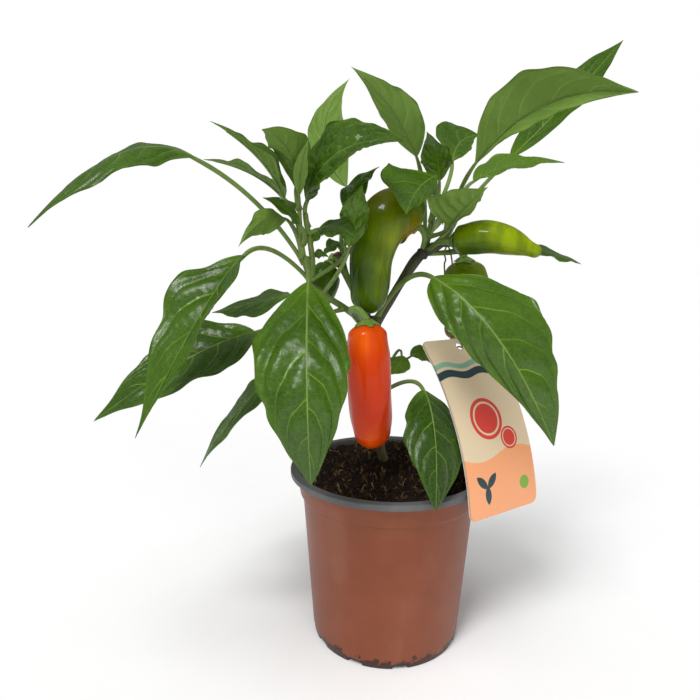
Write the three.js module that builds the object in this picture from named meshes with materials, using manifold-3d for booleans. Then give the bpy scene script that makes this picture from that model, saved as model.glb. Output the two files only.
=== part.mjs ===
// Potted snack-pepper plant with a hang tag.
// Millimetres, +Z up, origin at the middle of the pot's base on the ground, +Y away from the viewer.
// The plant grows from filled soil: a forked stem, leaves with their own stalks, five peppers.

import * as THREE from 'three';
import { mergeVertices } from 'three/addons/utils/BufferGeometryUtils.js';
import Module from 'manifold-3d';

const wasm = await Module();
wasm.setup();

// ---- driving dimensions ----

const GAP = 0.3; // clearance between pieces that touch
const FINEST = 0.02; // joined and cut bodies keep no detail finer than this

const POT = {
  height: 114.4,
  lipRadius: 65,
  lipHeight: 3.9,
  collarRadius: 60.2, // outer wall just under the lip
  stepHeight: 97, // the wall steps out here to form the collar
  step: 2,
  wallTopRadius: 56.6,
  wallBottomRadius: 49.5,
  footRadius: 48.4,
  footHeight: 3, // how far the base between pad and foot is raised
  padRadius: 20,
  footInner: 43,
  wall: 1.2,
  sides: 32,
  notchWidth: 10,
  notchDepth: 16,
  notchHeight: 2.6,
  notchHeadings: [8, 60, 112, 172, 222, 262, 300, 334], // degrees round from the front
};

const SOIL = {
  edgeHeight: 109.5,
  mound: 5, // how much higher the middle is
  tilt: 2, // how much higher the back is
  lump: 0.8,
  sides: 24,
  rings: 4,
};

const LEAF = {
  thickness: 0.8,
  stalkRadius: 1.35,
  ribRadius: 1.0,
  belly: 0.38, // where along the midrib a blade is widest
  taper: 1.35, // how drawn out its tip is
  wave: 1.4, // height of the wave along its edges
  stalkSteps: 4,
  bladeSteps: 8,
  columns: 5, // points across the blade
  span: [0.02, 0.985], // the blade's first and last ring along the midrib
  blunt: 0.8, // how quickly the blade widens from its stalk
  cup: 1.3, // how the blade curves up from the midrib to its edges
  waves: 2.5, // waves along each edge
};

const CALYX = {
  height: 3.4,
  knee: 1.6, // height of its bend above the pepper
  seat: 1.8, // height where the stalk ends inside it
  neck: [1.6, 1.7, 2], // stalk radii
  spread: [0.45, 0.85, 1], // its flat top is wider than the neck that enters it
  points: 5,
  pointDepth: 0.14,
};

const FRUIT = { sides: 12, steps: 10, lobeDepth: 0.05 };

const TAG = {
  width: 59,
  length: 114,
  corner: 5,
  thickness: 0.8,
  foot: [69, -37, 99], // middle of its lower edge
  turn: 34, // degrees that its width is turned from the +X axis
  leanLow: 6, // degrees off upright at its lower edge
  leanHigh: 46, // degrees off upright at its upper edge
  holeRadius: 2.6,
  holeDrop: 6, // hole centre below the upper edge
  steps: 9,
};

// The tie passes through the tag's hole and over its upper edge, then round the back pepper's stalk.
const TIE = {
  radius: 0.6,
  sides: 5,
  steps: 28,
  reach: 3, // how far it stands off the card, front and back
  rise: 9, // how far above the hole it crosses the card's edge
  line: [
    [41, 3, 222], [39, 7, 245], [38, 10, 254], [36.5, 15, 259.2], [35, 19, 255], [35.5, 15, 250.6],
    [34, 9, 245], [36, 0, 222],
  ],
};

// Stem lines: points and radii from the root end to the tip.
const STEMS = {
  trunk: {
    line: [[2, 8, 70], [-1, 6, 108], [-6, 4, 128], [-8, 3, 161], [-11, 1, 195], [-10, 0, 214]],
    radii: [3.2, 3.5, 3.1, 2.9, 3.2, 3.6],
  },
  right: {
    line: [[-11, 1, 207], [-2, 2, 223], [9, 6, 241], [17, 8, 252], [27, 10, 260]],
    radii: [3.0, 2.8, 2.7, 3.4, 2.2],
  },
  left: {
    line: [[-11, 1, 205], [-30, -1, 219], [-42, -6, 227], [-52, -13, 237]],
    radii: [2.4, 2.0, 1.9, 2.1],
  },
  middle: {
    line: [[-12, 1, 208], [-24, 4, 228], [-31, 7, 243], [-33, 8, 250]],
    radii: [2.2, 1.9, 1.9, 3.0],
  },
  leftShoot: {
    line: [[-50, -11, 234], [-55, -18, 250], [-57, -23, 266], [-57, -26, 280]],
    radii: [2.1, 2.0, 1.9, 1.2],
  },
  leftShootInner: {
    line: [[-51, -12, 236], [-50, -18, 250], [-52, -24, 266], [-53, -28, 276]],
    radii: [1.8, 1.7, 1.5, 1.1],
  },
  rightShoot: {
    line: [[20, 8, 255], [23, 8, 267], [26, 8, 281], [27, 6, 292]],
    radii: [2.4, 1.9, 1.6, 1.1],
  },
  rightShootOuter: {
    line: [[20, 8, 254], [31, 8, 260], [38, 8, 272], [43, 9, 284]],
    radii: [2.4, 2.0, 1.7, 1.2],
  },
};

// Small growth fused into the stem: buds on thin curved stalks and withered flower stubs.
const BUDS = [
  { line: [[22, 8, 262], [28, 2, 274], [30, -2, 276], [30, -3, 272]], radii: [0.8, 0.8, 1.4, 0.9] },
  { line: [[22, 9, 257], [33, 3, 268], [33, 0, 278], [31, -1, 284]], radii: [0.8, 0.8, 1.3, 0.8] },
  { line: [[-33, 8, 248], [-35, 3, 253], [-38, 0, 252]], radii: [1.6, 2.2, 1.4] },
  { line: [[-33, 8, 248], [-28, 4, 255], [-25, 2, 259]], radii: [1.6, 1.3, 0.8] },
];

// Each leaf: where its stalk leaves the stem, then the base, middle and tip of its midrib, then the
// outermost points of its left and right edge (seen from above, base to tip).
const LEAVES = [
  {
    name: 'leaf_left_1', stalk: [-55, -16, 247], base: [-112, -45, 304], mid: [-147, -63, 302],
    tip: [-190, -74, 264], left: [-148, -79, 288], right: [-156, -44, 305], belly: 0.46,
    taper: 0.9,
  },
  {
    name: 'leaf_left_2', stalk: [-57, -21, 262], base: [-68, -15, 287], mid: [-90, -6, 302],
    tip: [-119, 2, 310], left: [-89, -20, 305], right: [-92, 12, 306], steps: 7,
  },
  {
    name: 'leaf_left_3', stalk: [-57, -24, 270], base: [-65, -30, 284], mid: [-76, -48, 303],
    tip: [-97, -72, 317], left: [-75, -63, 309], right: [-68, -24, 303],
  },
  {
    name: 'leaf_left_4', stalk: [-57, -25, 278], base: [-59, -28, 290], mid: [-60, -55, 306],
    tip: [-70, -83, 311], left: [-51, -60, 314], right: [-70, -50, 308], belly: 0.48, taper: 1.1,
    blunt: 0.9,
  },
  {
    name: 'leaf_back_1', stalk: [-33, 10, 249], base: [-30, 15, 296], mid: [-46, 34, 334],
    tip: [-29, 50, 372], left: [-31, 36, 336], right: [-58, 34, 334], lead: 0.2,
  },
  {
    name: 'leaf_left_5', stalk: [-52, -24, 268], base: [-53, -30, 283], mid: [-34, -58, 305],
    tip: [-2, -86, 306], left: [-48, -36, 315], right: [-32, -74, 296], belly: 0.36, taper: 1,
    blunt: 0.8,
  },
  {
    name: 'leaf_left_6', stalk: [-56, -19, 250], base: [-64, -34, 272], mid: [-74, -53, 271],
    tip: [-85, -68, 256], left: [-81, -60, 274], right: [-74, -48, 263], steps: 7,
  },
  {
    name: 'leaf_left_7', stalk: [-55, -22, 259], base: [-56, -38, 270], mid: [-63, -50, 277],
    tip: [-72, -68, 281], left: [-64, -61, 275], right: [-59, -45, 280], belly: 0.38, taper: 1.2,
    blunt: 0.7, steps: 7,
  },
  {
    name: 'leaf_left_8', stalk: [-51, -12, 236], base: [-84, -60, 252], mid: [-102, -85, 221],
    tip: [-133, -95, 161], left: [-91, -102, 226], right: [-125, -78, 224], belly: 0.42, taper: 1.4,
    blunt: 1, wave: 2.4,
  },
  {
    name: 'leaf_left_9', stalk: [-30, -1, 219], base: [-82, -36, 208], mid: [-118, -56, 194],
    tip: [-168, -62, 160], left: [-92, -71, 193], right: [-122, -38, 211], belly: 0.38, taper: 1.15,
    blunt: 0.7, wave: 2,
  },
  {
    name: 'leaf_left_10', stalk: [-51, -12, 235], base: [-66, 7, 227], mid: [-93, 18, 220],
    tip: [-123, 30, 212], left: [-93, 3, 212], right: [-92, 32, 225], steps: 7,
  },
  {
    name: 'leaf_front_left', stalk: [-53, -22, 250], base: [-50, -52, 238], mid: [-47, -102, 194],
    tip: [-45, -100, 140], left: [-27, -86, 208], right: [-75, -84, 210], belly: 0.34, taper: 0.9,
    blunt: 0.8,
  },
  {
    name: 'leaf_left_11', stalk: [-11, 1, 195], base: [-62, -2, 186], mid: [-102, 9, 148],
    tip: [-131, 18, 104], left: [-85, -6, 158], right: [-97, 22, 161], belly: 0.38, taper: 1.3,
    blunt: 0.8,
  },
  {
    name: 'leaf_right_1', stalk: [20, 8, 256], base: [13, 1, 313], mid: [-4, -22, 335],
    tip: [-28, -42, 352], left: [15, -16, 333], right: [-9, -14, 331], belly: 0.35,
  },
  {
    name: 'leaf_right_2', stalk: [27, 7, 288], base: [28, 3, 299], mid: [24, -8, 313],
    tip: [15, -29, 322], left: [13, -9, 315], right: [34, -6, 311], steps: 7, wave: 2,
  },
  {
    name: 'leaf_right_3', stalk: [26, 8, 280], base: [41, 34, 316], mid: [49, 52, 332],
    tip: [65, 66, 339], left: [31, 46, 340], right: [56, 48, 327], steps: 7,
  },
  {
    name: 'leaf_right_4', stalk: [37, 8, 270], base: [45, -18, 305], mid: [70, -58, 329],
    tip: [98, -105, 324], left: [67, -68, 321], right: [50, -49, 341], belly: 0.4, taper: 1.1,
    blunt: 1.1, wave: 2,
  },
  {
    name: 'leaf_right_5', stalk: [38, 8, 272], base: [82, 44, 320], mid: [121, 54, 359],
    tip: [161, 62, 403], left: [119, 58, 377], right: [136, 46, 364], belly: 0.56, taper: 1.2,
    blunt: 0.6,
  },
  {
    name: 'leaf_right_6', stalk: [43, 9, 284], base: [50, 8, 300], mid: [77, 14, 311],
    tip: [112, 22, 314], left: [71, 27, 319], right: [69, 1, 305], steps: 7,
  },
  {
    name: 'leaf_right_7', stalk: [24, 8, 274], base: [23, -13, 300], mid: [9, -45, 288],
    tip: [1, -70, 273], left: [19, -36, 287], right: [-11, -40, 299], lead: 0.15,
  },
  {
    name: 'leaf_right_8', stalk: [22, 8, 265], base: [34, -6, 271], mid: [40, -22, 281],
    tip: [49, -38, 291], left: [47, -12, 281], right: [20, -26, 288], steps: 7,
  },
  {
    name: 'leaf_front_right', stalk: [-10, 0, 212], base: [20, -38, 241], mid: [51, -72, 210],
    tip: [85, -68, 151], left: [72, -54, 230], right: [32, -61, 212], belly: 0.42, taper: 0.9,
    blunt: 0.5, stalkRadius: 1.8, wave: 1.6,
  },
  {
    name: 'leaf_low_right', stalk: [-8, 3, 161], base: [19, -26, 172], mid: [23, -49, 151],
    tip: [22, -68, 113], left: [43, -31, 148], right: [5, -46, 158], belly: 0.5, taper: 1,
    blunt: 0.55,
  },
  {
    name: 'leaf_right_9', stalk: [25, 10, 259], base: [91, 46, 260], mid: [120, 60, 256],
    tip: [148, 74, 248], left: [125, 74, 259], right: [113, 46, 253], steps: 7,
  },
  {
    name: 'leaf_centre_1', stalk: [-32, 6, 247], base: [-31, -2, 281], mid: [-24, -12, 295],
    tip: [-11, -25, 303], left: [-31, -16, 293], right: [-16, -8, 295], steps: 7,
  },
  {
    name: 'leaf_centre_2', stalk: [-44, -7, 229], base: [-28, -30, 257], mid: [-24, -33, 277],
    tip: [-21, -43, 291], left: [-33, -31, 277], right: [-16, -36, 276], steps: 7, wave: 2,
    lead: 0.3,
  },
  {
    name: 'leaf_centre_3', stalk: [-52, -24, 265], base: [-46, -29, 267], mid: [-34, -40, 268],
    tip: [-23, -55, 260], left: [-33, -31, 274], right: [-36, -48, 262], steps: 7,
  },
  {
    name: 'leaf_centre_4', stalk: [-52, -13, 237], base: [-33, -22, 259], mid: [-38, -25, 258],
    tip: [-43, -28, 251], left: [-38, -32, 253], right: [-38, -18, 262], steps: 6, taper: 1,
  },
];

const YOUNG = { stalkSteps: 2, steps: 4, wave: 0.4, stalkRadius: 1 };

// Young leaves too small to stand alone, fused into the shoot that bears them.
const YOUNG_LEAVES = [
  {
    stalk: [-57, -26, 279], base: [-56, -38, 285], mid: [-54, -49, 299], tip: [-49, -62, 311],
    left: [-50, -50, 300], right: [-58, -48, 300],
  },
  {
    stalk: [-50, -16, 248], base: [-50, -16, 251], mid: [-46, -16, 254], tip: [-40, -16, 251],
    left: [-46, -12, 256], right: [-46, -19, 250],
  },
  {
    stalk: [-51, -21, 258], base: [-50, -19, 260], mid: [-48, -18, 265], tip: [-44, -18, 269],
    left: [-52, -17, 265], right: [-45, -17, 263],
  },
  {
    stalk: [-8, 3, 165], base: [8, 11, 187], mid: [6, 8, 181], tip: [0, 4, 175],
    left: [13, 8, 178], right: [1, 11, 187],
  },
  {
    stalk: [-8, 3, 163], base: [14, 14, 186], mid: [22, 16, 187], tip: [29, 18, 180],
    left: [24, 22, 192], right: [19, 10, 184],
  },
];

// Peppers: the line down the middle, and half the thickness at even steps along it.
const PEPPERS = [
  {
    name: 'ripe_pepper', color: 0xd23c10, line: [[-17, -32, 213], [-15, -34, 176], [-12, -32, 137]],
    radii: [8, 11.6, 12.8, 13.2, 13.2, 13, 12.4, 10.8, 5], lobes: 3,
    stalk: [[-11, 1, 204], [-19, -14, 210], [-26, -28, 220], [-22, -33, 221]],
    calyx: 9,
  },
  {
    name: 'green_pepper_large', color: 0x5f7414,
    line: [[13, 2, 272], [4, -4, 277], [-7, -10, 272], [-14, -14, 253], [-15, -14, 234], [-16, -14, 217]],
    radii: [7, 14.5, 17, 16, 14, 13, 12.4, 12, 11, 5], lobes: 3,
    stalk: [[18, 8, 253], [20, 5, 263], [18, 3, 269]], calyx: 9,
  },
  {
    name: 'green_pepper_right', color: 0x7c9a1a, line: [[37, -4, 262], [60, -15, 264], [85, -26, 255]],
    radii: [4, 9.2, 10.2, 10.2, 9.4, 8.4, 6.6, 4.4, 2.6], lobes: 3,
    stalk: [[22, 8, 256], [28, 1, 261], [32, -2, 262]], calyx: 6,
  },
  {
    name: 'green_pepper_back', color: 0x6b8a1c, line: [[48, 17, 250], [50, 20, 229], [43, 23, 197]],
    radii: [6, 13.5, 15, 14.4, 13, 11.2, 9.4, 7.2, 3], lobes: 4,
    stalk: [[21, 9, 254], [36, 15, 255], [45, 17, 256]], calyx: 8,
  },
  {
    name: 'green_pepper_small', color: 0x3d5f1c, line: [[-40, 11, 247], [-44, 10, 237], [-47, 8, 216]],
    radii: [3, 8, 9.8, 10, 9.8, 9, 7.4, 5.2, 2.2], lobes: 3,
    stalk: [[-30, 7, 241], [-35, 11, 247], [-38, 12, 252]], calyx: 5.5,
  },
];

const COLORS = {
  pot: 0x8a5038,
  soil: 0x2a1f16,
  stem: 0x4b5a24,
  leaf: 0x3d6b1d,
  stalk: 0x5d7a2b,
  tag: 0xe0c4a4,
  tie: 0x6b4a2e,
};

// ---- helpers ----

const point = ([x, y, z]) => new THREE.Vector3(x, y, z);
const radians = THREE.MathUtils.degToRad;
const mix = THREE.MathUtils.lerp;

// Value at share s (0 to 1) of a list of evenly spaced values.
function sample(values, s) {
  const place = s * (values.length - 1);
  const k = Math.min(Math.floor(place), values.length - 2);
  return mix(values[k], values[k + 1], place - k);
}

// Joins rings of points into one closed skin. A flat ring runs over its upper face and back under
// it, so its quads are split alike above and below and its ends are closed by a strip. A looped
// run of rings joins its last ring to its first and needs no ends.
function loft(rings, { flat = false, looped = false } = {}) {
  const count = rings[0].length;
  const positions = rings.flat().flatMap((p) => [p.x, p.y, p.z]);
  const faces = [];
  const spans = looped ? rings.length : rings.length - 1;
  for (let k = 0; k < spans; k += 1) {
    const ahead = ((k + 1) % rings.length) * count;
    for (let i = 0; i < count; i += 1) {
      const next = (i + 1) % count;
      const a = k * count + i;
      const b = k * count + next;
      const c = ahead + i;
      const d = ahead + next;
      if (flat && i >= count / 2) faces.push(a, b, c, b, d, c);
      else faces.push(a, b, d, a, d, c);
    }
  }
  const last = (rings.length - 1) * count;
  if (flat) {
    for (let i = 0; i + 1 < count / 2; i += 1) {
      const under = count - 1 - i;
      faces.push(i, under, i + 1, under, under - 1, i + 1);
      faces.push(last + i, last + i + 1, last + under);
      faces.push(last + under, last + i + 1, last + under - 1);
    }
  } else if (!looped) {
    [0, last].forEach((start, end) => {
      const ring = rings[end * (rings.length - 1)];
      const middle = ring.reduce((sum, p) => sum.add(p), new THREE.Vector3()).divideScalar(count);
      const centre = positions.length / 3;
      positions.push(middle.x, middle.y, middle.z);
      for (let i = 0; i < count; i += 1) {
        const next = (i + 1) % count;
        if (end === 0) faces.push(centre, start + next, start + i);
        else faces.push(centre, start + i, start + next);
      }
    });
  }
  const geometry = new THREE.BufferGeometry();
  geometry.setAttribute('position', new THREE.Float32BufferAttribute(positions, 3));
  geometry.setIndex(faces);
  return geometry;
}

// Merged position-only geometry with its faces pointing outwards.
function tidy(geometry) {
  const bare = geometry.clone();
  bare.deleteAttribute('normal');
  bare.deleteAttribute('uv');
  const merged = mergeVertices(bare, 1e-4);
  const p = merged.attributes.position;
  const index = merged.index.array;
  const [a, b, c] = [new THREE.Vector3(), new THREE.Vector3(), new THREE.Vector3()];
  let volume = 0;
  for (let i = 0; i < index.length; i += 3) {
    a.fromBufferAttribute(p, index[i]);
    b.fromBufferAttribute(p, index[i + 1]);
    c.fromBufferAttribute(p, index[i + 2]);
    volume += a.dot(b.cross(c));
  }
  if (volume < 0) {
    for (let i = 0; i < index.length; i += 3) {
      [index[i], index[i + 1]] = [index[i + 1], index[i]];
    }
  }
  return merged;
}

function solid(geometry) {
  const closed = tidy(geometry);
  return new wasm.Manifold(new wasm.Mesh({
    numProp: 3,
    vertProperties: new Float32Array(closed.attributes.position.array),
    triVerts: new Uint32Array(closed.index.array),
  }));
}

function geometryOf(body) {
  const mesh = body.simplify(FINEST).getMesh();
  const geometry = new THREE.BufferGeometry();
  geometry.setAttribute('position', new THREE.Float32BufferAttribute(mesh.vertProperties, 3));
  geometry.setIndex(Array.from(mesh.triVerts));
  return geometry;
}

// A tube along smooth points, its radii spread evenly along it, with swells round it as lobes.
function tube(line, radii, shape) {
  const { sides, steps, swell = 0, lobes = 0, lobeDepth = 0, looped = false } = shape;
  const curve = new THREE.CatmullRomCurve3(line.map(point), looped);
  const frames = curve.computeFrenetFrames(steps, looped);
  const rings = [];
  for (let k = 0; k < (looped ? steps : steps + 1); k += 1) {
    const centre = curve.getPointAt(k / steps);
    const radius = sample(radii, k / steps) + swell;
    const ring = [];
    for (let i = 0; i < sides; i += 1) {
      const angle = (2 * Math.PI * i) / sides;
      const reach = radius * (1 + lobeDepth * Math.cos(lobes * angle));
      const side = frames.normals[k].clone().multiplyScalar(reach * Math.cos(angle));
      side.addScaledVector(frames.binormals[k], reach * Math.sin(angle));
      ring.push(centre.clone().add(side));
    }
    rings.push(ring);
  }
  return loft(rings, { looped });
}

// ---- leaves ----

// Share of the full width at s along the midrib: blunt at the stalk, drawn out at the tip.
function widthShare(s, belly, taper, blunt) {
  if (s < belly) return Math.sin((Math.PI / 2) * (s / belly)) ** blunt;
  return Math.cos((Math.PI / 2) * ((s - belly) / (1 - belly))) ** taper;
}

// A stalk that turns into a blade in one closed skin. The blade folds along its midrib so that its
// edges pass through the leaf's left and right points.
function leafGeometry(leaf) {
  const { thickness, columns, span, cup, waves } = LEAF;
  const stalkSteps = leaf.stalkSteps ?? LEAF.stalkSteps;
  const bladeSteps = leaf.steps ?? LEAF.bladeSteps;
  const belly = leaf.belly ?? LEAF.belly;
  const taper = leaf.taper ?? LEAF.taper;
  const blunt = leaf.blunt ?? LEAF.blunt;
  const wave = leaf.wave ?? LEAF.wave;
  const stalkRadius = leaf.stalkRadius ?? LEAF.stalkRadius;
  const [base, mid, tip] = [leaf.base, leaf.mid, leaf.tip].map(point);
  const bow = mid.clone().multiplyScalar(2).addScaledVector(base, -0.5).addScaledVector(tip, -0.5);
  const midrib = new THREE.QuadraticBezierCurve3(base, bow, tip);
  const across = point(leaf.right).sub(point(leaf.left));

  const frameAt = (s) => {
    const along = midrib.getTangent(s);
    const side = across.clone().addScaledVector(along, -across.dot(along)).normalize();
    return { centre: midrib.getPoint(s), side, up: side.clone().cross(along) };
  };
  const widest = frameAt(belly);
  const reach = [leaf.left, leaf.right].map((edge) => {
    const arm = point(edge).sub(widest.centre);
    return { out: arm.dot(widest.side), rise: arm.dot(widest.up) };
  });

  const rings = [];
  const start = point(leaf.stalk);
  const lead = base.distanceTo(start) * (leaf.lead ?? 0.5);
  const stalkBow = base.clone().addScaledVector(midrib.getTangent(0), -lead);
  const stalk = new THREE.QuadraticBezierCurve3(start, stalkBow, base);
  for (let k = 0; k < stalkSteps; k += 1) {
    const s = k / stalkSteps;
    const along = stalk.getTangent(s);
    const side = across.clone().addScaledVector(along, -across.dot(along)).normalize();
    const up = side.clone().cross(along);
    const ring = [];
    for (let i = 0; i < 2 * columns; i += 1) {
      const angle = Math.PI - (Math.PI / columns) * (i + 0.5);
      const spot = stalk.getPoint(s).addScaledVector(side, stalkRadius * Math.cos(angle));
      ring.push(spot.addScaledVector(up, stalkRadius * Math.sin(angle)));
    }
    rings.push(ring);
  }
  const half = (columns - 1) / 2;
  for (let k = 0; k <= bladeSteps; k += 1) {
    const s = mix(...span, k / bladeSteps);
    const { centre, side, up } = frameAt(s);
    const share = widthShare(s, belly, taper, blunt);
    const upper = [];
    const under = [];
    for (let j = -half; j <= half; j += 1) {
      const v = Math.abs(j) / half;
      const edge = reach[j < 0 ? 0 : 1];
      const out = share * v * edge.out;
      const phase = j < 0 ? 0 : 2;
      const ripple = wave * share * v * v * Math.sin(2 * Math.PI * waves * s + phase);
      const rise = share * edge.rise * v ** cup + ripple;
      const rib = j === 0 ? mix(LEAF.ribRadius, 0, s) : 0;
      const spot = centre.clone().addScaledVector(side, out).addScaledVector(up, rise);
      upper.push(spot.clone().addScaledVector(up, thickness / 2));
      under.unshift(spot.clone().addScaledVector(up, -thickness / 2 - rib));
    }
    rings.push([...upper, ...under]);
  }
  return loft(rings, { flat: true });
}

// ---- pot and soil ----

function turned(profile, sides) {
  const outline = profile.map(([radius, z]) => new THREE.Vector2(radius, z));
  return new THREE.LatheGeometry(outline, sides).rotateX(Math.PI / 2);
}

// Inside radius of the pot at the height z, for the soil that fills it.
function potInside(z) {
  const { step, stepHeight, wallTopRadius, wallBottomRadius, collarRadius, height, wall } = POT;
  if (z < stepHeight) return mix(wallBottomRadius, wallTopRadius, z / stepHeight) - wall;
  return mix(wallTopRadius + step, collarRadius, (z - stepHeight) / (height - stepHeight)) - wall;
}

function potGeometry() {
  const p = POT;
  const { wall } = p;
  const under = p.height - p.lipHeight;
  const profile = [
    [0, 0], [p.padRadius, 0], [p.padRadius + 1, p.footHeight],
    [p.footInner - 1, p.footHeight], [p.footInner, 0], [p.footRadius, 0],
    [p.wallBottomRadius, 2 * p.footHeight], [p.wallTopRadius, p.stepHeight - 1],
    [p.wallTopRadius + p.step, p.stepHeight + 1],
    [p.collarRadius, under], [p.lipRadius - 0.8, under], [p.lipRadius, under + 0.8],
    [p.lipRadius, p.height - 1.2], [p.lipRadius - 1.2, p.height],
    [p.collarRadius + 0.2, p.height], [p.collarRadius - wall, p.height - 1.2],
    [p.wallTopRadius + p.step - wall, p.stepHeight + 1], [p.wallTopRadius - wall, p.stepHeight - 1],
    [p.wallBottomRadius - wall, 2 * p.footHeight], [p.footInner + 3, wall], [p.footInner + 1, wall],
    [p.footInner - 0.2, p.footHeight + wall], [p.padRadius + 0.2, p.footHeight + wall],
    [p.padRadius - 0.8, wall], [0, wall],
  ];
  let pot = solid(turned(profile, p.sides));
  for (const heading of p.notchHeadings) {
    const notch = new THREE.BoxGeometry(p.notchWidth, p.notchDepth, 2 * p.notchHeight);
    notch.translate(0, -p.footRadius, 0);
    notch.rotateZ(radians(heading));
    pot = pot.subtract(solid(notch));
  }
  return geometryOf(pot);
}

// Rough crumbly top: a low mound to the back with shallow lumps.
function soilTop(radius, angle) {
  const lumps = Math.sin(3 * angle + 0.7) * Math.sin(radius / 9) + 0.6 * Math.cos(5 * angle);
  const dome = SOIL.mound * (1 - (radius / POT.wallTopRadius) ** 2);
  return SOIL.edgeHeight + dome + SOIL.tilt * Math.sin(angle) + SOIL.lump * lumps;
}

function soilGeometry(hole) {
  const { sides, rings } = SOIL;
  const skin = [];
  const ringAt = (radiusOf, heightOf) => Array.from({ length: sides }, (_, i) => {
    const angle = (2 * Math.PI * i) / sides;
    const radius = radiusOf(angle);
    const z = heightOf(radius, angle);
    return new THREE.Vector3(radius * Math.cos(angle), radius * Math.sin(angle), z);
  });
  const floor = POT.footHeight + POT.wall + GAP;
  const shrink = Math.cos(Math.PI / POT.sides);
  const wallRadius = (z) => potInside(z) * shrink - GAP;
  skin.push(ringAt(() => POT.padRadius, () => floor));
  skin.push(ringAt(() => POT.footInner, () => floor));
  const low = 2 * POT.footHeight;
  skin.push(ringAt(() => wallRadius(low) - 1, () => low));
  const high = POT.stepHeight - 2;
  const edge = wallRadius(high);
  skin.push(ringAt(() => edge, () => high));
  for (let k = 0; k < rings; k += 1) {
    skin.push(ringAt(() => edge * (1 - k / rings), soilTop));
  }
  return geometryOf(solid(loft(skin)).subtract(hole));
}

// ---- hang tag ----

// A point of the card's middle surface: u across its width, v up its length.
function tagPoint(u, v, depth) {
  const t = TAG;
  const turn = radians(t.turn);
  const across = new THREE.Vector3(Math.cos(turn), Math.sin(turn), 0);
  const inward = new THREE.Vector3(-Math.sin(turn), Math.cos(turn), 0);
  const low = radians(t.leanLow);
  const bend = (radians(t.leanHigh) - low) / t.length;
  const lean = low + bend * v;
  const spot = point(t.foot).addScaledVector(across, u);
  spot.addScaledVector(inward, (Math.cos(low) - Math.cos(lean)) / bend);
  spot.z += (Math.sin(lean) - Math.sin(low)) / bend;
  const outward = inward.clone().multiplyScalar(-Math.cos(lean));
  outward.z = Math.sin(lean);
  return spot.addScaledVector(outward, depth);
}

function tagGeometry() {
  const { width, length, corner, thickness, steps } = TAG;
  const heights = [0, 0.3, 1.2, 2.8, corner];
  for (let k = 1; k < steps; k += 1) heights.push(mix(corner, length - corner, k / steps));
  heights.push(...[corner, 2.8, 1.2, 0.3, 0].map((h) => length - h));
  const rings = heights.map((v) => {
    const drop = Math.max(0, corner - Math.min(v, length - v));
    const half = width / 2 - corner + Math.sqrt(corner ** 2 - drop ** 2);
    const row = [-1, -0.5, 0, 0.5, 1].map((share) => share * half);
    return [
      ...row.map((u) => tagPoint(u, v, thickness / 2)),
      ...row.toReversed().map((u) => tagPoint(u, v, -thickness / 2)),
    ];
  });
  const level = length - TAG.holeDrop;
  const line = [-4, 0, 4].map((depth) => tagPoint(0, level, depth).toArray());
  const hole = solid(tube(line, [TAG.holeRadius, TAG.holeRadius], { sides: 12, steps: 2 }));
  return geometryOf(solid(loft(rings, { flat: true })).subtract(hole));
}

// A closed wire loop.
function tieGeometry() {
  const { radius, sides, steps, reach, rise, line } = TIE;
  const level = TAG.length - TAG.holeDrop;
  const knot = [
    tagPoint(0, level, reach), tagPoint(0, level, 0), tagPoint(0, level + 2, -reach),
    tagPoint(0, level + rise, -2),
  ];
  const path = [...knot.map((p) => p.toArray()), ...line];
  return tidy(tube(path, [radius, radius], { sides, steps, looped: true }));
}

// ---- stem and fruit ----

// All the stem's lines joined into one body, swollen by a gap when it is used as a cutter.
function stemBody(swell) {
  let body = null;
  for (const { line, radii } of Object.values(STEMS)) {
    const limb = solid(tube(line, radii, { sides: 6, steps: 2 * line.length - 3, swell }));
    body = body ? body.add(limb) : limb;
  }
  for (const { line, radii } of BUDS) {
    body = body.add(solid(tube(line, radii, { sides: 5, steps: 4, swell })));
  }
  return body;
}

function stemGeometry() {
  let body = stemBody(0);
  for (const leaf of YOUNG_LEAVES) {
    body = body.add(solid(leafGeometry({ ...YOUNG, ...leaf })));
  }
  return geometryOf(body);
}

function pepperGeometry(pepper) {
  return tidy(tube(pepper.line, pepper.radii, { ...FRUIT, lobes: pepper.lobes }));
}

// A bent stalk that ends in a five-pointed cap just above the pepper's flat shoulder.
function pepperStalkBody(pepper) {
  const curve = new THREE.CatmullRomCurve3(pepper.line.map(point));
  const top = curve.getPoint(0);
  const down = curve.getTangent(0);
  const above = (height) => top.clone().addScaledVector(down, -height).toArray();
  const neck = solid(tube([...pepper.stalk, above(CALYX.seat)], CALYX.neck, { sides: 6, steps: 6 }));
  const spread = CALYX.spread.map((share) => share * pepper.calyx);
  const { height, knee, points, pointDepth } = CALYX;
  const star = { sides: 2 * points, steps: 2, lobes: points, lobeDepth: pointDepth };
  const cap = solid(tube([above(height), above(knee), above(GAP)], spread, star));
  return neck.add(cap);
}

// ---- assembly ----

const plant = new THREE.Group();

function addPiece(name, geometry, color, roughness) {
  const material = new THREE.MeshStandardMaterial({ color, roughness, metalness: 0 });
  const mesh = new THREE.Mesh(geometry, material);
  mesh.name = name;
  plant.add(mesh);
}

const stemCutter = stemBody(GAP);

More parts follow.
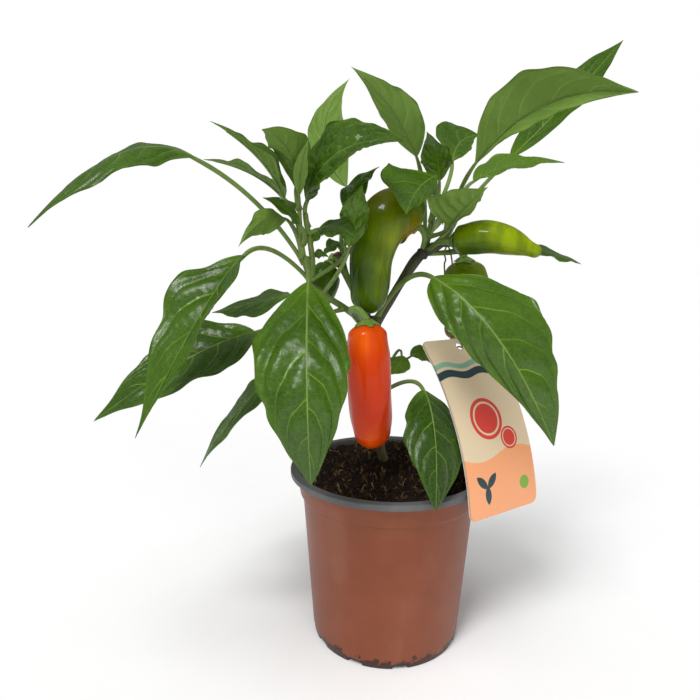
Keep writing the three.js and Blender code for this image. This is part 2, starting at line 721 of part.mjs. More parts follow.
addPiece('pot', potGeometry(), COLORS.pot, 0.5);
addPiece('soil', soilGeometry(stemCutter), COLORS.soil, 1);
addPiece('stem', stemGeometry(), COLORS.stem, 0.6);
for (const leaf of LEAVES) {
  addPiece(leaf.name, geometryOf(solid(leafGeometry(leaf)).subtract(stemCutter)), COLORS.leaf, 0.45);
}
for (const pepper of PEPPERS) {
  addPiece(pepper.name, pepperGeometry(pepper), pepper.color, 0.25);
  const stalk = pepperStalkBody(pepper).subtract(stemCutter);
  addPiece(`${pepper.name}_stalk`, geometryOf(stalk), COLORS.stalk, 0.5);
}
addPiece('hang_tag', tagGeometry(), COLORS.tag, 0.35);
addPiece('tag_tie', tieGeometry(), COLORS.tie, 0.6);

export default plant;
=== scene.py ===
"""Potted snack-pepper plant with a hang tag: the finish of every piece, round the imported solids.

Shapes are worked out in millimetres, in the frame's axes, and turned to metres as each mesh is made.
"""

import math

import bpy
import numpy as np
from mathutils import Matrix, Vector


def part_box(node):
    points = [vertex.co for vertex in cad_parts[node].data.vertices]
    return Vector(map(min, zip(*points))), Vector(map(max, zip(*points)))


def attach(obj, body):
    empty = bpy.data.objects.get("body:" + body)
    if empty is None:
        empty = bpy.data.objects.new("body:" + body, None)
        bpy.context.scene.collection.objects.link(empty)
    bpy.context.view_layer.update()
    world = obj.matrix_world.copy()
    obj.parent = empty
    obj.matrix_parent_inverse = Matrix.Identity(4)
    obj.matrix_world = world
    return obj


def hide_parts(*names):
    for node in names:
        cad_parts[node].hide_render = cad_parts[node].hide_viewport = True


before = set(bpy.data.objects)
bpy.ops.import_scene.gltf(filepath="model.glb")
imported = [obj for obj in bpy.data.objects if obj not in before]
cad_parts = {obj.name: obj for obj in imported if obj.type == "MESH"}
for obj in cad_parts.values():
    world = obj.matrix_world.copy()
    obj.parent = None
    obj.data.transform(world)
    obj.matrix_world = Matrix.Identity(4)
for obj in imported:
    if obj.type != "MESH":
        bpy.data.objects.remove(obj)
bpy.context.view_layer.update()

MM = 0.001
TURN = 2 * math.pi

# ---- driving sizes, in millimetres ----

POT_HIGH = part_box("pot")[1]
POT = {
    "height": POT_HIGH.z / MM,
    "lip_radius": POT_HIGH.x / MM,
    "lip_height": 3.9,
    "lip_bevel": (0.6, 2.5),  # how far in and how far down the lip's inner edge slopes
    "collar_radius": 60.2,
    "step_height": 97.0,
    "step": 2.0,
    "step_slope": 1.0,  # half the height of the step's slope
    "wall_top": 56.6,
    "wall_bottom": 49.5,
    "wall_low": 6.0,  # height at which the wall leaves the foot ring
    "foot_radius": 48.4,
    "foot_height": 3.0,
    "foot_inner": 43.0,
    "pad_radius": 20.0,
    "draft": 1.0,  # how far the sides of the foot ring and the pad lean
    "wall": 1.2,
    "corner": 0.8,
    "sides": 144,
}
# A drainage notch in the foot ring. Its cutter starts at low, under the pot.
NOTCH = {"width": 10.0, "depth": 16.0, "height": 2.6, "round": 0.6, "low": -2.0}
NOTCH_HEADINGS = (8, 60, 112, 172, 222, 262, 300, 334)
CORNER_STEPS = 4  # points along each rounded corner

SOIL = {
    "edge": 109.5,
    "mound": 5.0,
    "tilt": 2.0,
    "lump": 0.8,
    "coarse": (9.0, 1.3),  # size and height of the crumbly lumps
    "fine": (3.6, 0.9),
    "grain": 0.5,
    "gap": 0.15,  # between the soil's top edge and the pot's wall
    "low_gap": 0.3,  # the same lower down
    "floor_gap": 4.0,  # the same at the pot's floor
    "low": 4.5,
    "middle": 0.6,  # radius of its first ring
    "rings": 54,
    "sides": 200,
    "strewn": (6.0, 2.0),  # how far from the middle and from the wall the strewn crumbs stay
    "strewn_grid": (60, 18),
}

LEAF = {
    "thickness": 0.45,
    "stalk_radius": 1.35,
    "lead": 0.5,  # how far before the blade its stalk bends, as a share of the stalk
    "belly": 0.38,  # where along the midrib a blade is widest
    "taper": 1.35,  # how thin it is drawn out towards the tip
    "blunt": 0.8,  # the lower, the fuller it starts at the stalk
    "cup": 1.3,  # the higher, the flatter it stays near the midrib
    "wave": 1.4,  # how far its edge waves up and down
    "waves": 2.5,
    "fine_wave": 0.45,
    "fine_waves": 5.3,
    "full_width": 45.0,  # a blade as wide as this has its full relief, and a narrow one has less
    "most": 1.15,  # the most that a wider blade has, as a share of that
    "pairs": 5.6,  # side veins on each half
    "sweep": 0.15,  # how far a side vein leans forward as it leaves the midrib
    "curl": 0.24,  # how far it bends forward towards the edge
    "jitter": 0.16,  # how unevenly side veins are spaced
    "wander": 0.07,  # how far a side vein strays on its way to the edge
    "quilt": 1.6,  # how far the blade swells between side veins
    "pucker": 0.4,  # depth of the finer puckers
    "pucker_size": 5.0,
    "scallop": 0.032,  # how far the edge swells between side veins, as a share of the width
    "vein_sunk": 0.16,  # how deep a side vein lies in the upper side
    "vein_raised": 0.34,  # how far it stands out of the lower side
    "groove": 0.25,  # how deep the midrib lies in the upper side
    "tone": 0.3,
}
VEIN_STARTS = (0.35, 0.85)  # how far the veins of the left and right half are shifted
VEIN_WIDTH = 0.05  # of the way from one side vein to the next

# The spacing of a blade's rows and of the columns of each half, with their fewest and most, and how
# the columns crowd towards the midrib.
BLADE_GRID = {"row": 1.15, "rows": (40, 110), "column": 2.1, "columns": (9, 26), "crowding": 1.15}

# The midrib: half its width at the stalk beyond that at the tip, half its width at the tip, how far its
# middle lies under the blade as a share of that half width, and the share of the blade it runs along.
RIB = {"wide": 0.95, "narrow": 0.2, "sink": 0.8, "end": 0.88}
# A leaf stalk: the points of its bend, the spacing of its rings with their fewest and most, and how much
# and over what length it swells where it leaves the stem.
STALK = {"steps": 26, "ring": 1.6, "rings": (24, 90), "swell": 0.5, "swell_reach": 4.5, "sides": 10}

TAG = {
    "width": 59.0,
    "length": 114.0,
    "corner": 5.0,
    "thickness": 0.7,
    "foot": (69, -37, 99),
    "turn": 34.0,
    "lean_low": 6.0,
    "lean_high": 46.0,
    "hole": 2.6,
    "hole_drop": 6.0,
    "columns": 41,
    "rows": 90,
    "end_rows": 13,  # rows in each rounded end
}
TIE = {
    "radius": 0.5,
    "reach": 3.0,  # how far it stands out of the hole in front and behind
    "rise": 9.0,
    "hook": 2.0,  # how far up it turns behind the hole, and how far behind the card it rises
    "points": 220,
    "sides": 12,
    "line": (
        (41, 3, 222), (39, 7, 245), (38, 10, 254), (36.5, 15, 259.2), (35, 19, 255), (35.5, 15, 250.6),
        (34, 9, 245), (36, 0, 222),
    ),
}

# Stem lines from the root end to the tip, with their radii.
STEMS = {
    "trunk": (
        ((2, 8, 70), (-1, 6, 108), (-6, 4, 128), (-8, 3, 161), (-11, 1, 195), (-10, 0, 214)),
        (3.2, 3.5, 3.1, 2.9, 3.2, 3.6),
    ),
    "right": (
        ((-11, 1, 207), (-2, 2, 223), (9, 6, 241), (17, 8, 252), (27, 10, 260)),
        (3.0, 2.8, 2.7, 3.4, 2.2),
    ),
    "left": (((-11, 1, 205), (-30, -1, 219), (-42, -6, 227), (-52, -13, 237)), (2.4, 2.0, 1.9, 2.1)),
    "middle": (((-12, 1, 208), (-24, 4, 228), (-31, 7, 243), (-33, 8, 250)), (2.2, 1.9, 1.9, 3.0)),
    "left_shoot": (((-50, -11, 234), (-55, -18, 250), (-57, -23, 266), (-57, -26, 280)), (2.1, 2, 1.9, 1.2)),
    "left_shoot_inner": (
        ((-51, -12, 236), (-50, -18, 250), (-52, -24, 266), (-53, -28, 276)), (1.8, 1.7, 1.5, 1.1),
    ),
    "right_shoot": (((20, 8, 255), (23, 8, 267), (26, 8, 281), (27, 6, 292)), (2.4, 1.9, 1.6, 1.1)),
    "right_shoot_outer": (((20, 8, 254), (31, 8, 260), (38, 8, 272), (43, 9, 284)), (2.4, 2.0, 1.7, 1.2)),
}
STEM_MESH = {"step": 1.4, "sides": 20, "ribs": 4, "trunk_ribs": 5, "rib": 0.07, "knuckle": 0.05}

# How woody (to 1) and how dark a stem is: wood ends at its top height and fades in over a stretch below
# it, and the branches to the right of a place, between two heights, have tones of their own.
WOOD = {"top": 215, "fade": 60, "branch_from": -8, "branch_heights": (210, 262), "wood": 0.75, "dark": 0.6}

# Forks: where they are and how far their dark colour reaches. The first two are swollen.
FORKS = ((-11, 1, 208, 13), (19, 8, 254, 12), (-33, 8, 249, 7), (-50, -11, 235, 6))
SWELLING = {"heights": (-3.5, -1.5, 0, 1.5, 3.5), "radii": (2.6, 3.6, 4.0, 3.6, 2.6)}
# Two buds, then two withered flowers: a line, and the radii along it.
BUDS = (
    (((22, 8, 262), (28, 2, 274), (30, -2, 276), (30, -3, 272)), (0.7, 0.7, 0.9, 2.0, 2.3, 1.2, 0.3)),
    (((22, 9, 257), (33, 3, 268), (33, 0, 278), (31, -1, 284)), (0.7, 0.7, 0.9, 1.9, 2.2, 1.1, 0.3)),
    (((-33, 8, 248), (-35, 3, 253), (-38, 0, 252)), (1.2, 1.6, 2.2, 1.4, 0.5)),
    (((-33, 8, 248), (-28, 4, 255), (-25, 2, 259)), (1.2, 1.3, 1.5, 1.0, 0.4)),
)

# Leaves: where the stalk leaves the stem, base, middle and tip of the midrib, then the left and right
# edge where the blade is widest. Tone is 0 for a mature leaf, 1 for a young bright one and below 0 for
# a dark one; a high tone is partly painted glow of light shining through the leaf from behind. right_half
# is the belly, taper and blunt of a right half that differs from the left.
LEAVES = {
    "leaf_left_1": dict(
        stalk=(-55, -16, 247), base=(-112, -45, 304), mid=(-147, -63, 302), tip=(-190, -74, 264),
        left=(-148, -79, 288), right=(-156, -44, 305), belly=0.46, taper=0.9, tone=-0.1, pucker=0.2,
        quilt=0.9,
    ),
    "leaf_left_2": dict(
        stalk=(-57, -21, 262), base=(-68, -15, 287), mid=(-90, -6, 302), tip=(-119, 2, 310),
        left=(-89, -20, 305), right=(-92, 12, 306), tone=0.3,
    ),
    "leaf_left_3": dict(
        stalk=(-57, -24, 270), base=(-65, -30, 284), mid=(-76, -48, 303), tip=(-97, -72, 317),
        left=(-75, -63, 309), right=(-68, -24, 303), tone=0.3,
    ),
    "leaf_left_4": dict(
        stalk=(-57, -25, 278), base=(-59, -28, 290), mid=(-60, -55, 306), tip=(-70, -83, 311),
        left=(-51, -60, 314), right=(-70, -50, 308), belly=0.48, taper=1.1, blunt=0.9, tone=0.6,
    ),
    "leaf_back_1": dict(
        stalk=(-33, 10, 249), base=(-30, 15, 296), mid=(-46, 34, 334), tip=(-29, 50, 372),
        left=(-31, 36, 336), right=(-58, 34, 334), lead=0.2, tone=0.3,
    ),
    "leaf_left_5": dict(
        stalk=(-52, -24, 268), base=(-53, -30, 283), mid=(-34, -58, 305), tip=(-2, -86, 306),
        left=(-48, -36, 315), right=(-32, -74, 296), belly=0.36, quilt=2.2, pucker=1.1, taper=1, blunt=0.8,
        tone=0,
    ),
    "leaf_left_6": dict(
        stalk=(-56, -19, 250), base=(-64, -34, 272), mid=(-74, -53, 271), tip=(-85, -68, 256),
        left=(-81, -60, 274), right=(-74, -48, 263), tone=0.4,
    ),
    "leaf_left_7": dict(
        stalk=(-55, -22, 259), base=(-56, -38, 270), mid=(-63, -50, 277), tip=(-72, -68, 281),
        left=(-64, -61, 275), right=(-59, -45, 280), belly=0.38, taper=1.2, blunt=0.7, tone=0.1,
    ),
    "leaf_left_8": dict(
        stalk=(-51, -12, 236), base=(-84, -60, 252), mid=(-102, -85, 221), tip=(-133, -95, 161),
        left=(-91, -102, 226), right=(-125, -78, 224), belly=0.42, taper=1.4, wave=2.4, blunt=1, tone=0,
    ),
    "leaf_left_9": dict(
        stalk=(-30, -1, 219), base=(-82, -36, 208), mid=(-118, -56, 194), tip=(-168, -62, 160),
        left=(-92, -71, 193), right=(-122, -38, 211), wave=2.0, belly=0.38, taper=1.15, blunt=0.7, tone=-0.2,
    ),
    "leaf_left_10": dict(
        stalk=(-51, -12, 235), base=(-66, 7, 227), mid=(-93, 18, 220), tip=(-123, 30, 212),
        left=(-93, 3, 212), right=(-92, 32, 225), tone=-0.1,
    ),
    "leaf_front_left": dict(
        stalk=(-53, -22, 250), base=(-50, -52, 238), mid=(-47, -102, 194), tip=(-45, -100, 140),
        left=(-27, -86, 208), right=(-75, -84, 210), belly=0.34, taper=0.9, blunt=0.8, tone=0.12,
    ),
    "leaf_left_11": dict(
        stalk=(-11, 1, 195), base=(-62, -2, 186), mid=(-102, 9, 148), tip=(-131, 18, 104),
        left=(-85, -6, 158), right=(-97, 22, 161), belly=0.38, taper=1.3, blunt=0.8, tone=-0.2,
    ),
    "leaf_right_1": dict(
        stalk=(20, 8, 256), base=(13, 1, 313), mid=(-4, -22, 335), tip=(-28, -42, 352),
        left=(15, -16, 333), right=(-9, -14, 331), belly=0.35, tone=0.9,
    ),
    "leaf_right_2": dict(
        stalk=(27, 7, 288), base=(28, 3, 299), mid=(24, -8, 313), tip=(15, -29, 322),
        left=(13, -9, 315), right=(34, -6, 311), wave=2.0, pucker=2.2, quilt=3.0, tone=0.7,
    ),
    "leaf_right_3": dict(
        stalk=(26, 8, 280), base=(41, 34, 316), mid=(49, 52, 332), tip=(65, 66, 339),
        left=(31, 46, 340), right=(56, 48, 327), tone=0.2,
    ),
    "leaf_right_4": dict(
        stalk=(37, 8, 270), base=(45, -18, 305), mid=(70, -58, 329), tip=(98, -105, 324),
        left=(67, -68, 321), right=(50, -49, 341), belly=0.4, wave=2.0, taper=1.1, blunt=1.1, tone=1,
        quilt=1.1, pucker=0.2,
    ),
    "leaf_right_5": dict(
        stalk=(38, 8, 272), base=(82, 44, 320), mid=(121, 54, 359), tip=(161, 62, 403),
        left=(119, 58, 377), right=(136, 46, 364), belly=0.56, taper=1.2, blunt=0.6, tone=0.1, quilt=0.9,
        pucker=0.2,
    ),
    "leaf_right_6": dict(
        stalk=(43, 9, 284), base=(50, 8, 300), mid=(77, 14, 311), tip=(112, 22, 314),
        left=(71, 27, 319), right=(69, 1, 305), tone=0.8,
    ),
    "leaf_right_7": dict(
        stalk=(24, 8, 274), base=(23, -13, 300), mid=(9, -45, 288), tip=(1, -70, 273),
        left=(19, -36, 287), right=(-11, -40, 299), lead=0.15, tone=0.3,
    ),
    "leaf_right_8": dict(
        stalk=(22, 8, 265), base=(34, -6, 271), mid=(40, -22, 281), tip=(49, -38, 291),
        left=(47, -12, 281), right=(20, -26, 288), tone=0.7,
    ),
    "leaf_front_right": dict(
        stalk=(-10, 0, 212), base=(20, -38, 241), mid=(51, -72, 210), tip=(85, -68, 151),
        left=(72, -54, 230), right=(32, -61, 212), belly=0.42, taper=0.9, stalk_radius=1.6,
        wave=1.6, blunt=0.5, right_half=(0.35, 1.15, 0.3), right_reach=1.25, tone=0.25,
    ),
    "leaf_low_right": dict(
        stalk=(-8, 3, 161), base=(19, -26, 172), mid=(23, -49, 151), tip=(22, -68, 113),
        left=(43, -31, 148), right=(5, -46, 158), belly=0.5, taper=1, blunt=0.55, quilt=0.7, pucker=0.3,
        tone=-0.6,
    ),
    "leaf_right_9": dict(
        stalk=(25, 10, 259), base=(91, 46, 260), mid=(120, 60, 256), tip=(148, 74, 248),
        left=(125, 74, 259), right=(113, 46, 253), tone=0.0,
    ),
    "leaf_centre_1": dict(
        stalk=(-32, 6, 247), base=(-31, -2, 281), mid=(-24, -12, 295), tip=(-11, -25, 303),
        left=(-31, -16, 293), right=(-16, -8, 295), pucker=1.6, quilt=2.6, tone=0.0,
    ),
    "leaf_centre_2": dict(
        stalk=(-44, -7, 229), base=(-28, -30, 257), mid=(-24, -33, 277), tip=(-21, -43, 291),
        left=(-33, -31, 277), right=(-16, -36, 276), wave=2.0, lead=0.3, pucker=2.8, quilt=3.4,
        tone=0.9,
    ),
    "leaf_centre_3": dict(
        stalk=(-52, -24, 265), base=(-46, -29, 267), mid=(-34, -40, 268), tip=(-23, -55, 260),
        left=(-33, -31, 274), right=(-36, -48, 262), pucker=1.8, quilt=2.6, tone=0.1,
    ),
    "leaf_centre_4": dict(
        stalk=(-52, -13, 237), base=(-33, -22, 259), mid=(-38, -25, 258), tip=(-43, -28, 251),
        left=(-38, -32, 253), right=(-38, -18, 262), taper=1.0, pucker=1.8, quilt=2.6, tone=0.5,
    ),
}
YOUNG_LEAVES = {
    "young_leaf_left": dict(
        stalk=(-57, -26, 279), base=(-56, -38, 285), mid=(-54, -49, 299), tip=(-49, -62, 311),
        left=(-50, -50, 300), right=(-58, -48, 300),
    ),
    "young_leaf_left_low": dict(
        stalk=(-50, -16, 248), base=(-50, -16, 251), mid=(-46, -16, 254), tip=(-40, -16, 251),
        left=(-46, -12, 256), right=(-46, -19, 250),
    ),
    "young_leaf_left_inner": dict(
        stalk=(-51, -21, 258), base=(-50, -19, 260), mid=(-48, -18, 265), tip=(-44, -18, 269),
        left=(-52, -17, 265), right=(-45, -17, 263),
    ),
    "young_leaf_trunk_left": dict(
        stalk=(-8, 3, 165), base=(8, 11, 187), mid=(6, 8, 181), tip=(0, 4, 175),
        left=(13, 8, 178), right=(1, 11, 187),
    ),
    "young_leaf_trunk_right": dict(
        stalk=(-8, 3, 163), base=(14, 14, 186), mid=(22, 16, 187), tip=(29, 18, 180),
        left=(24, 22, 192), right=(19, 10, 184),
    ),
}
YOUNG = {"wave": 0.4, "stalk_radius": 1.0, "tone": 0.9}

# Peppers: the line down the middle, half the thickness along it, how yellow and how dark the skin is
# from shoulder to tip, the side (streak, an angle) where both are strongest, and patches: place,
# reach, and how yellow, dark and blushed they are.
PEPPERS = {
    "ripe_pepper": dict(
        line=((-17, -32, 213), (-15, -34, 176), (-12, -32, 137)),
        radii=(8, 11.6, 12.8, 13.2, 13.2, 13, 12.4, 10.8, 5), lobes=3,
        stalk=((-11, 1, 204), (-19, -14, 210), (-26, -28, 220), (-22, -33, 221)), calyx=9,
        yellow=(0.35, 0.15, 0.1, 0.3), dark=(0.1, 0.2, 0.5, 0.2), streak=2.0,
        patches=(((-18, -46, 205), 9, (0.9, 0, 0)), ((-14, -44, 142), 7, (0.6, 0, 0))),
    ),
    "green_pepper_large": dict(
        line=((13, 2, 272), (4, -4, 277), (-7, -10, 272), (-14, -14, 253), (-15, -14, 234), (-16, -14, 217)),
        radii=(7, 14.5, 17, 16, 14, 13, 12.4, 12, 11, 5), lobes=3,
        stalk=((18, 8, 253), (20, 5, 263), (18, 3, 269)), calyx=9,
        yellow=(0.4, 0.5, 0.45, 0.1), dark=(0.2, 0.25, 0.5, 0.85), streak=5.6,
        patches=(
            ((-9, -14, 286), 15, (0.1, 0.75, 0.2)), ((12, -14, 262), 10, (0.5, 0, 0.9)),
            ((-3, -26, 262), 8, (0.95, 0, 0.1)), ((-8, -28, 246), 6, (0.85, 0, 0)),
            ((-9, -27, 230), 5, (0.5, 0.2, 0)),
            ((-24, -24, 240), 9, (0.0, 0.75, 0)), ((-22, -20, 262), 8, (0.1, 0.6, 0)),
        ),
    ),
    "green_pepper_right": dict(
        line=((37, -4, 262), (60, -15, 264), (85, -26, 255)),
        radii=(4, 9.2, 10.2, 10.2, 9.4, 8.4, 6.6, 4.4, 2.6), lobes=3,
        stalk=((22, 8, 256), (28, 1, 261), (32, -2, 262)), calyx=6,
        yellow=(0.6, 0.85, 1.0, 0.9), dark=(0.3, 0.1, 0, 0), streak=1.0,
        patches=(
            # The first patch darkens the fruit's underside: painted shade.
            ((48, -16, 254), 10, (0.0, 0.85, 0)), ((78, -24, 262), 7, (1.0, 0, 0.1)),
            ((68, -16, 271), 4, (0.2, 0.2, 0.6)),
        ),
    ),
    "green_pepper_back": dict(
        line=((48, 17, 250), (50, 20, 229), (43, 23, 197)),
        radii=(6, 13.5, 15, 14.4, 13, 11.2, 9.4, 7.2, 3), lobes=4,
        stalk=((21, 9, 254), (36, 15, 255), (45, 17, 256)), calyx=8,
        yellow=(0.85, 0.9, 0.6, 0.2), dark=(0.0, 0.0, 0.1, 0.3), streak=4.7,
        patches=(((43, 23, 199), 14, (0.2, 0.1, 0.9)),),
    ),
    "green_pepper_small": dict(
        line=((-40, 11, 247), (-44, 10, 237), (-47, 8, 216)),
        radii=(3, 8, 9.8, 10, 9.8, 9, 7.4, 5.2, 2.2), lobes=3,
        stalk=((-30, 7, 241), (-35, 11, 247), (-38, 12, 252)), calyx=5.5,
        yellow=(0.1, 0, 0, 0), dark=(0.4, 0.6, 0.7, 0.6), streak=4.5, patches=(),
    ),
}
PEPPER = {
    "sides": 96,
    "rings": 150,
    "lobe": 0.028,
    "gap": 0.3,  # between the skin and its cap
    "shoulder": 0.95,
    "tip": 0.9,
    "closing": (0.6, 0.95),  # how far the rounding reaches at the shoulder and the tip, in radii
    "wash": 0.28,  # half of the yellow and dark that is lost on the side away from the streak
}
CALYX = {
    "height": 3.4,
    "points": 5,
    "point_depth": 0.14,
    "neck": (1.6, 1.6, 1.7, 2.0, 2.6),
    "spread": 0.92,
    "flare": 0.35,  # how far its points stand out from the skin
    "sides": 80,
    "rings": 16,
}

CAMERA = {
    "place": (-26.6, -375.0, 252.0),
    "pitch": 9.1,
    "roll": 0.72,
    "lens": 30.14,
    "sensor": 36.0,
    "near": 10,
}

STUDIO = {
    "backdrop": 1.0,
    "glow": 0.30,
    "floor": (0.92, 0.93),
    "floor_reach": 8.0,
    "lights": {  # from where, how broad in degrees, how strong, and whether it gives glints
        "key": ((-0.45, -0.75, 1.0), 20.0, 1.75, True),
        "front": ((0.35, -1.0, 0.12), 55.0, 1.5, False),
        "top": ((-0.1, -0.35, 1.0), 30.0, 1.0, False),
    },
}

# What is strewn on the soil: how many to the square metre, the seed, the smallest and the largest
# scale, and how rough it is, in metres.
STREWN = {
    "crumbs": (130000.0, 4, 0.5, 1.9, 0.0014),
    "chips": (36000.0, 9, 0.5, 2.5, 0.0014),
    "fibres": (17000.0, 15, 0.5, 1.5, 0.0035),
}


# ---- lines, tubes and meshes ----

def spread(values, s):
    """Values at shares s (0 to 1) of an even list, on a smooth curve through them."""
    values = np.asarray(values, float)
    place = np.clip(np.asarray(s, float), 0, 1) * (len(values) - 1)
    k = np.minimum(place.astype(int), len(values) - 2)
    t = place - k
    padded = np.concatenate([[2 * values[0] - values[1]], values, [2 * values[-1] - values[-2]]])
    a, b, c, d = (padded[k + i] for i in range(4))
    if values.ndim > 1:
        t = t[..., None]
    return b + 0.5 * t * (c - a + t * (2 * a - 5 * b + 4 * c - d + t * (3 * (b - c) + d - a)))


def smooth_line(knots, count, looped=False):
    """Points at even distances along a smooth curve through the knots."""
    knots = np.asarray(knots, float)
    if looped:
        wrapped = np.concatenate([knots[-2:], knots, knots[:3]])
        dense = spread(wrapped, np.linspace(2, 2 + len(knots), 60 * len(knots)) / (len(wrapped) - 1))
    else:
        dense = spread(knots, np.linspace(0, 1, 60 * len(knots)))
    return even(dense, count)


def steps_of(line):
    """The distance from each point of a line to the next."""
    return np.linalg.norm(np.diff(np.asarray(line, float), axis=0), axis=1)


def walked_along(line):
    """The distance walked at each point of a line."""
    return np.concatenate([[0], np.cumsum(steps_of(line))])


def on_line(places, marks, line):
    """Points at the places asked for, on a line whose own points lie at the marks."""
    return np.stack([np.interp(places, marks, line[:, axis]) for axis in range(3)], axis=-1)


def even(dense, count):
    """Points at even distances along a line of closely spaced ones."""
    walked = walked_along(dense)
    return on_line(np.linspace(0, walked[-1], count), walked, dense)


def unit(vectors):
    return vectors / np.maximum(np.linalg.norm(vectors, axis=-1, keepdims=True), 1e-9)


def frames(line):
    """Directions along a line and two across it that don't twist."""
    along = unit(np.gradient(line, axis=0))
    helper = np.array([0.0, 0, 1]) if abs(along[0][2]) < 0.9 else np.array([1.0, 0, 0])
    side = unit(helper - along[0] * helper.dot(along[0]))
    sides = []
    for direction in along:
        side = unit(side - direction * side.dot(direction))
        sides.append(side)
    sides = np.array(sides)
    return along, sides, np.cross(along, sides)


def grid_faces(rows, columns, closed=False):
    """Quads of a grid of points, row by row; closed joins the last column to the first."""
    i, j = np.meshgrid(np.arange(rows - 1), np.arange(columns if closed else columns - 1), indexing="ij")
    ahead = (j + 1) % columns
    quads = [i * columns + j, i * columns + ahead, (i + 1) * columns + ahead, (i + 1) * columns + j]
    return np.stack(quads, axis=-1).reshape(-1, 4)


def capped_faces(rows, columns):
    """Faces of a closed tube of rings, with a fan from each of the two end points that follow them."""
    faces = grid_faces(rows, columns, closed=True).tolist()
    last = (rows - 1) * columns
    for i in range(columns):
        ahead = (i + 1) % columns
        faces.append([rows * columns, ahead, i])
        faces.append([rows * columns + 1, last + i, last + ahead])
    return faces


def rim_faces(rows, columns):
    """Quads that join the edges of two like grids, whose points follow each other."""
    around = np.concatenate([
        np.arange(columns), np.arange(1, rows) * columns + columns - 1,
        (rows - 1) * columns + np.arange(columns - 2, -1, -1), np.arange(rows - 2, 0, -1) * columns,
    ])
    ahead = np.roll(around, -1)
    other = rows * columns
    return np.stack([around, around + other, ahead + other, ahead], axis=-1)


def triples(first, second, third):
    """Three values for each point of a grid, point by point."""
    return np.stack(np.broadcast_arrays(first, second, third), axis=-1).reshape(-1, 3)


def arms(angle, side, other):
    """Directions at right angles to a line: a row of them for each of its points."""
    return np.cos(angle)[..., None] * side[:, None] + np.sin(angle)[..., None] * other[:, None]


def circle(sides):
    """Angles round a circle."""
    return np.linspace(0, TURN, sides, endpoint=False)


def placed(name, data):
    """A new object in the scene."""
    thing = bpy.data.objects.new(name, data)
    bpy.context.scene.collection.objects.link(thing)
    return thing


class Shape:
    """Closed parts gathered into one mesh: points, faces, a slot for each face, fields for each corner."""

    def __init__(self, *fields):
        self.points = []
        self.faces = []
        self.slots = []
        self.fields = {name: [] for name in fields}
        self.count = 0

    def add(self, points, faces, slot=0, **corners):
        """Adds faces; corners holds a vector for each face corner, or for each point."""
        for name, gathered in self.fields.items():
            values = corners.get(name)
            if values is None:
                values = np.zeros((len(points), 3))
            if len(values) == len(points):
                values = values[np.concatenate([np.asarray(face) for face in faces])]
            gathered.append(values)
        self.points.append(points)
        self.faces += [[corner + self.count for corner in face] for face in faces]
        self.slots += [slot] * len(faces)
        self.count += len(points)

    def join(self, faces, slot, **corners):
        """Adds faces between points that are there already; corners holds a vector for each corner."""
        for name, gathered in self.fields.items():
            gathered.append(corners.get(name, np.zeros((faces.size, 3))))
        self.faces += faces.tolist()
        self.slots += [slot] * len(faces)

    def piece(self, name, materials):
        """The gathered parts as one object, in metres, at the origin."""
        mesh = bpy.data.meshes.new(name)
        mesh.from_pydata((np.concatenate(self.points) * MM).tolist(), [], self.faces)
        for material in materials:
            mesh.materials.append(material)
        mesh.polygons.foreach_set("material_index", self.slots)
        mesh.polygons.foreach_set("use_smooth", [True] * len(self.faces))
        for label, gathered in self.fields.items():
            field = mesh.attributes.new(label, "FLOAT_VECTOR", "CORNER")
            field.data.foreach_set("vector", np.concatenate(gathered).ravel())
        mesh.update()
        return placed(name, mesh)


def add_tube(shape, line, radii, sides, slot=0, form=None, field="skin"):
    """A closed round bar along evenly spaced points. form(s, angle) scales its radius."""
    along, side, other = frames(line)
    s = np.linspace(0, 1, len(line))[:, None]
    angle = circle(sides)[None, :]
    reach = spread(radii, s[:, 0])[:, None] * np.ones(sides)
    if form is not None:
        reach = reach * form(s, angle)
    grid = line[:, None] + reach[..., None] * arms(angle, side, other)
    points = np.concatenate([grid.reshape(-1, 3), line[:1], line[-1:]])
    spots = np.concatenate([triples(s, angle / TURN, 0.0), [[0, 0, 0]], [[1, 0, 0]]])
    shape.add(points, capped_faces(len(line), sides), slot, **{field: spots})


def finish_piece(piece, slot, *nodes):
    """Rides the piece on the plant and hides the solids it stands for; its slot is not used."""
    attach(piece, "root")
    if nodes:
        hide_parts(*nodes)


# ---- node trees ----

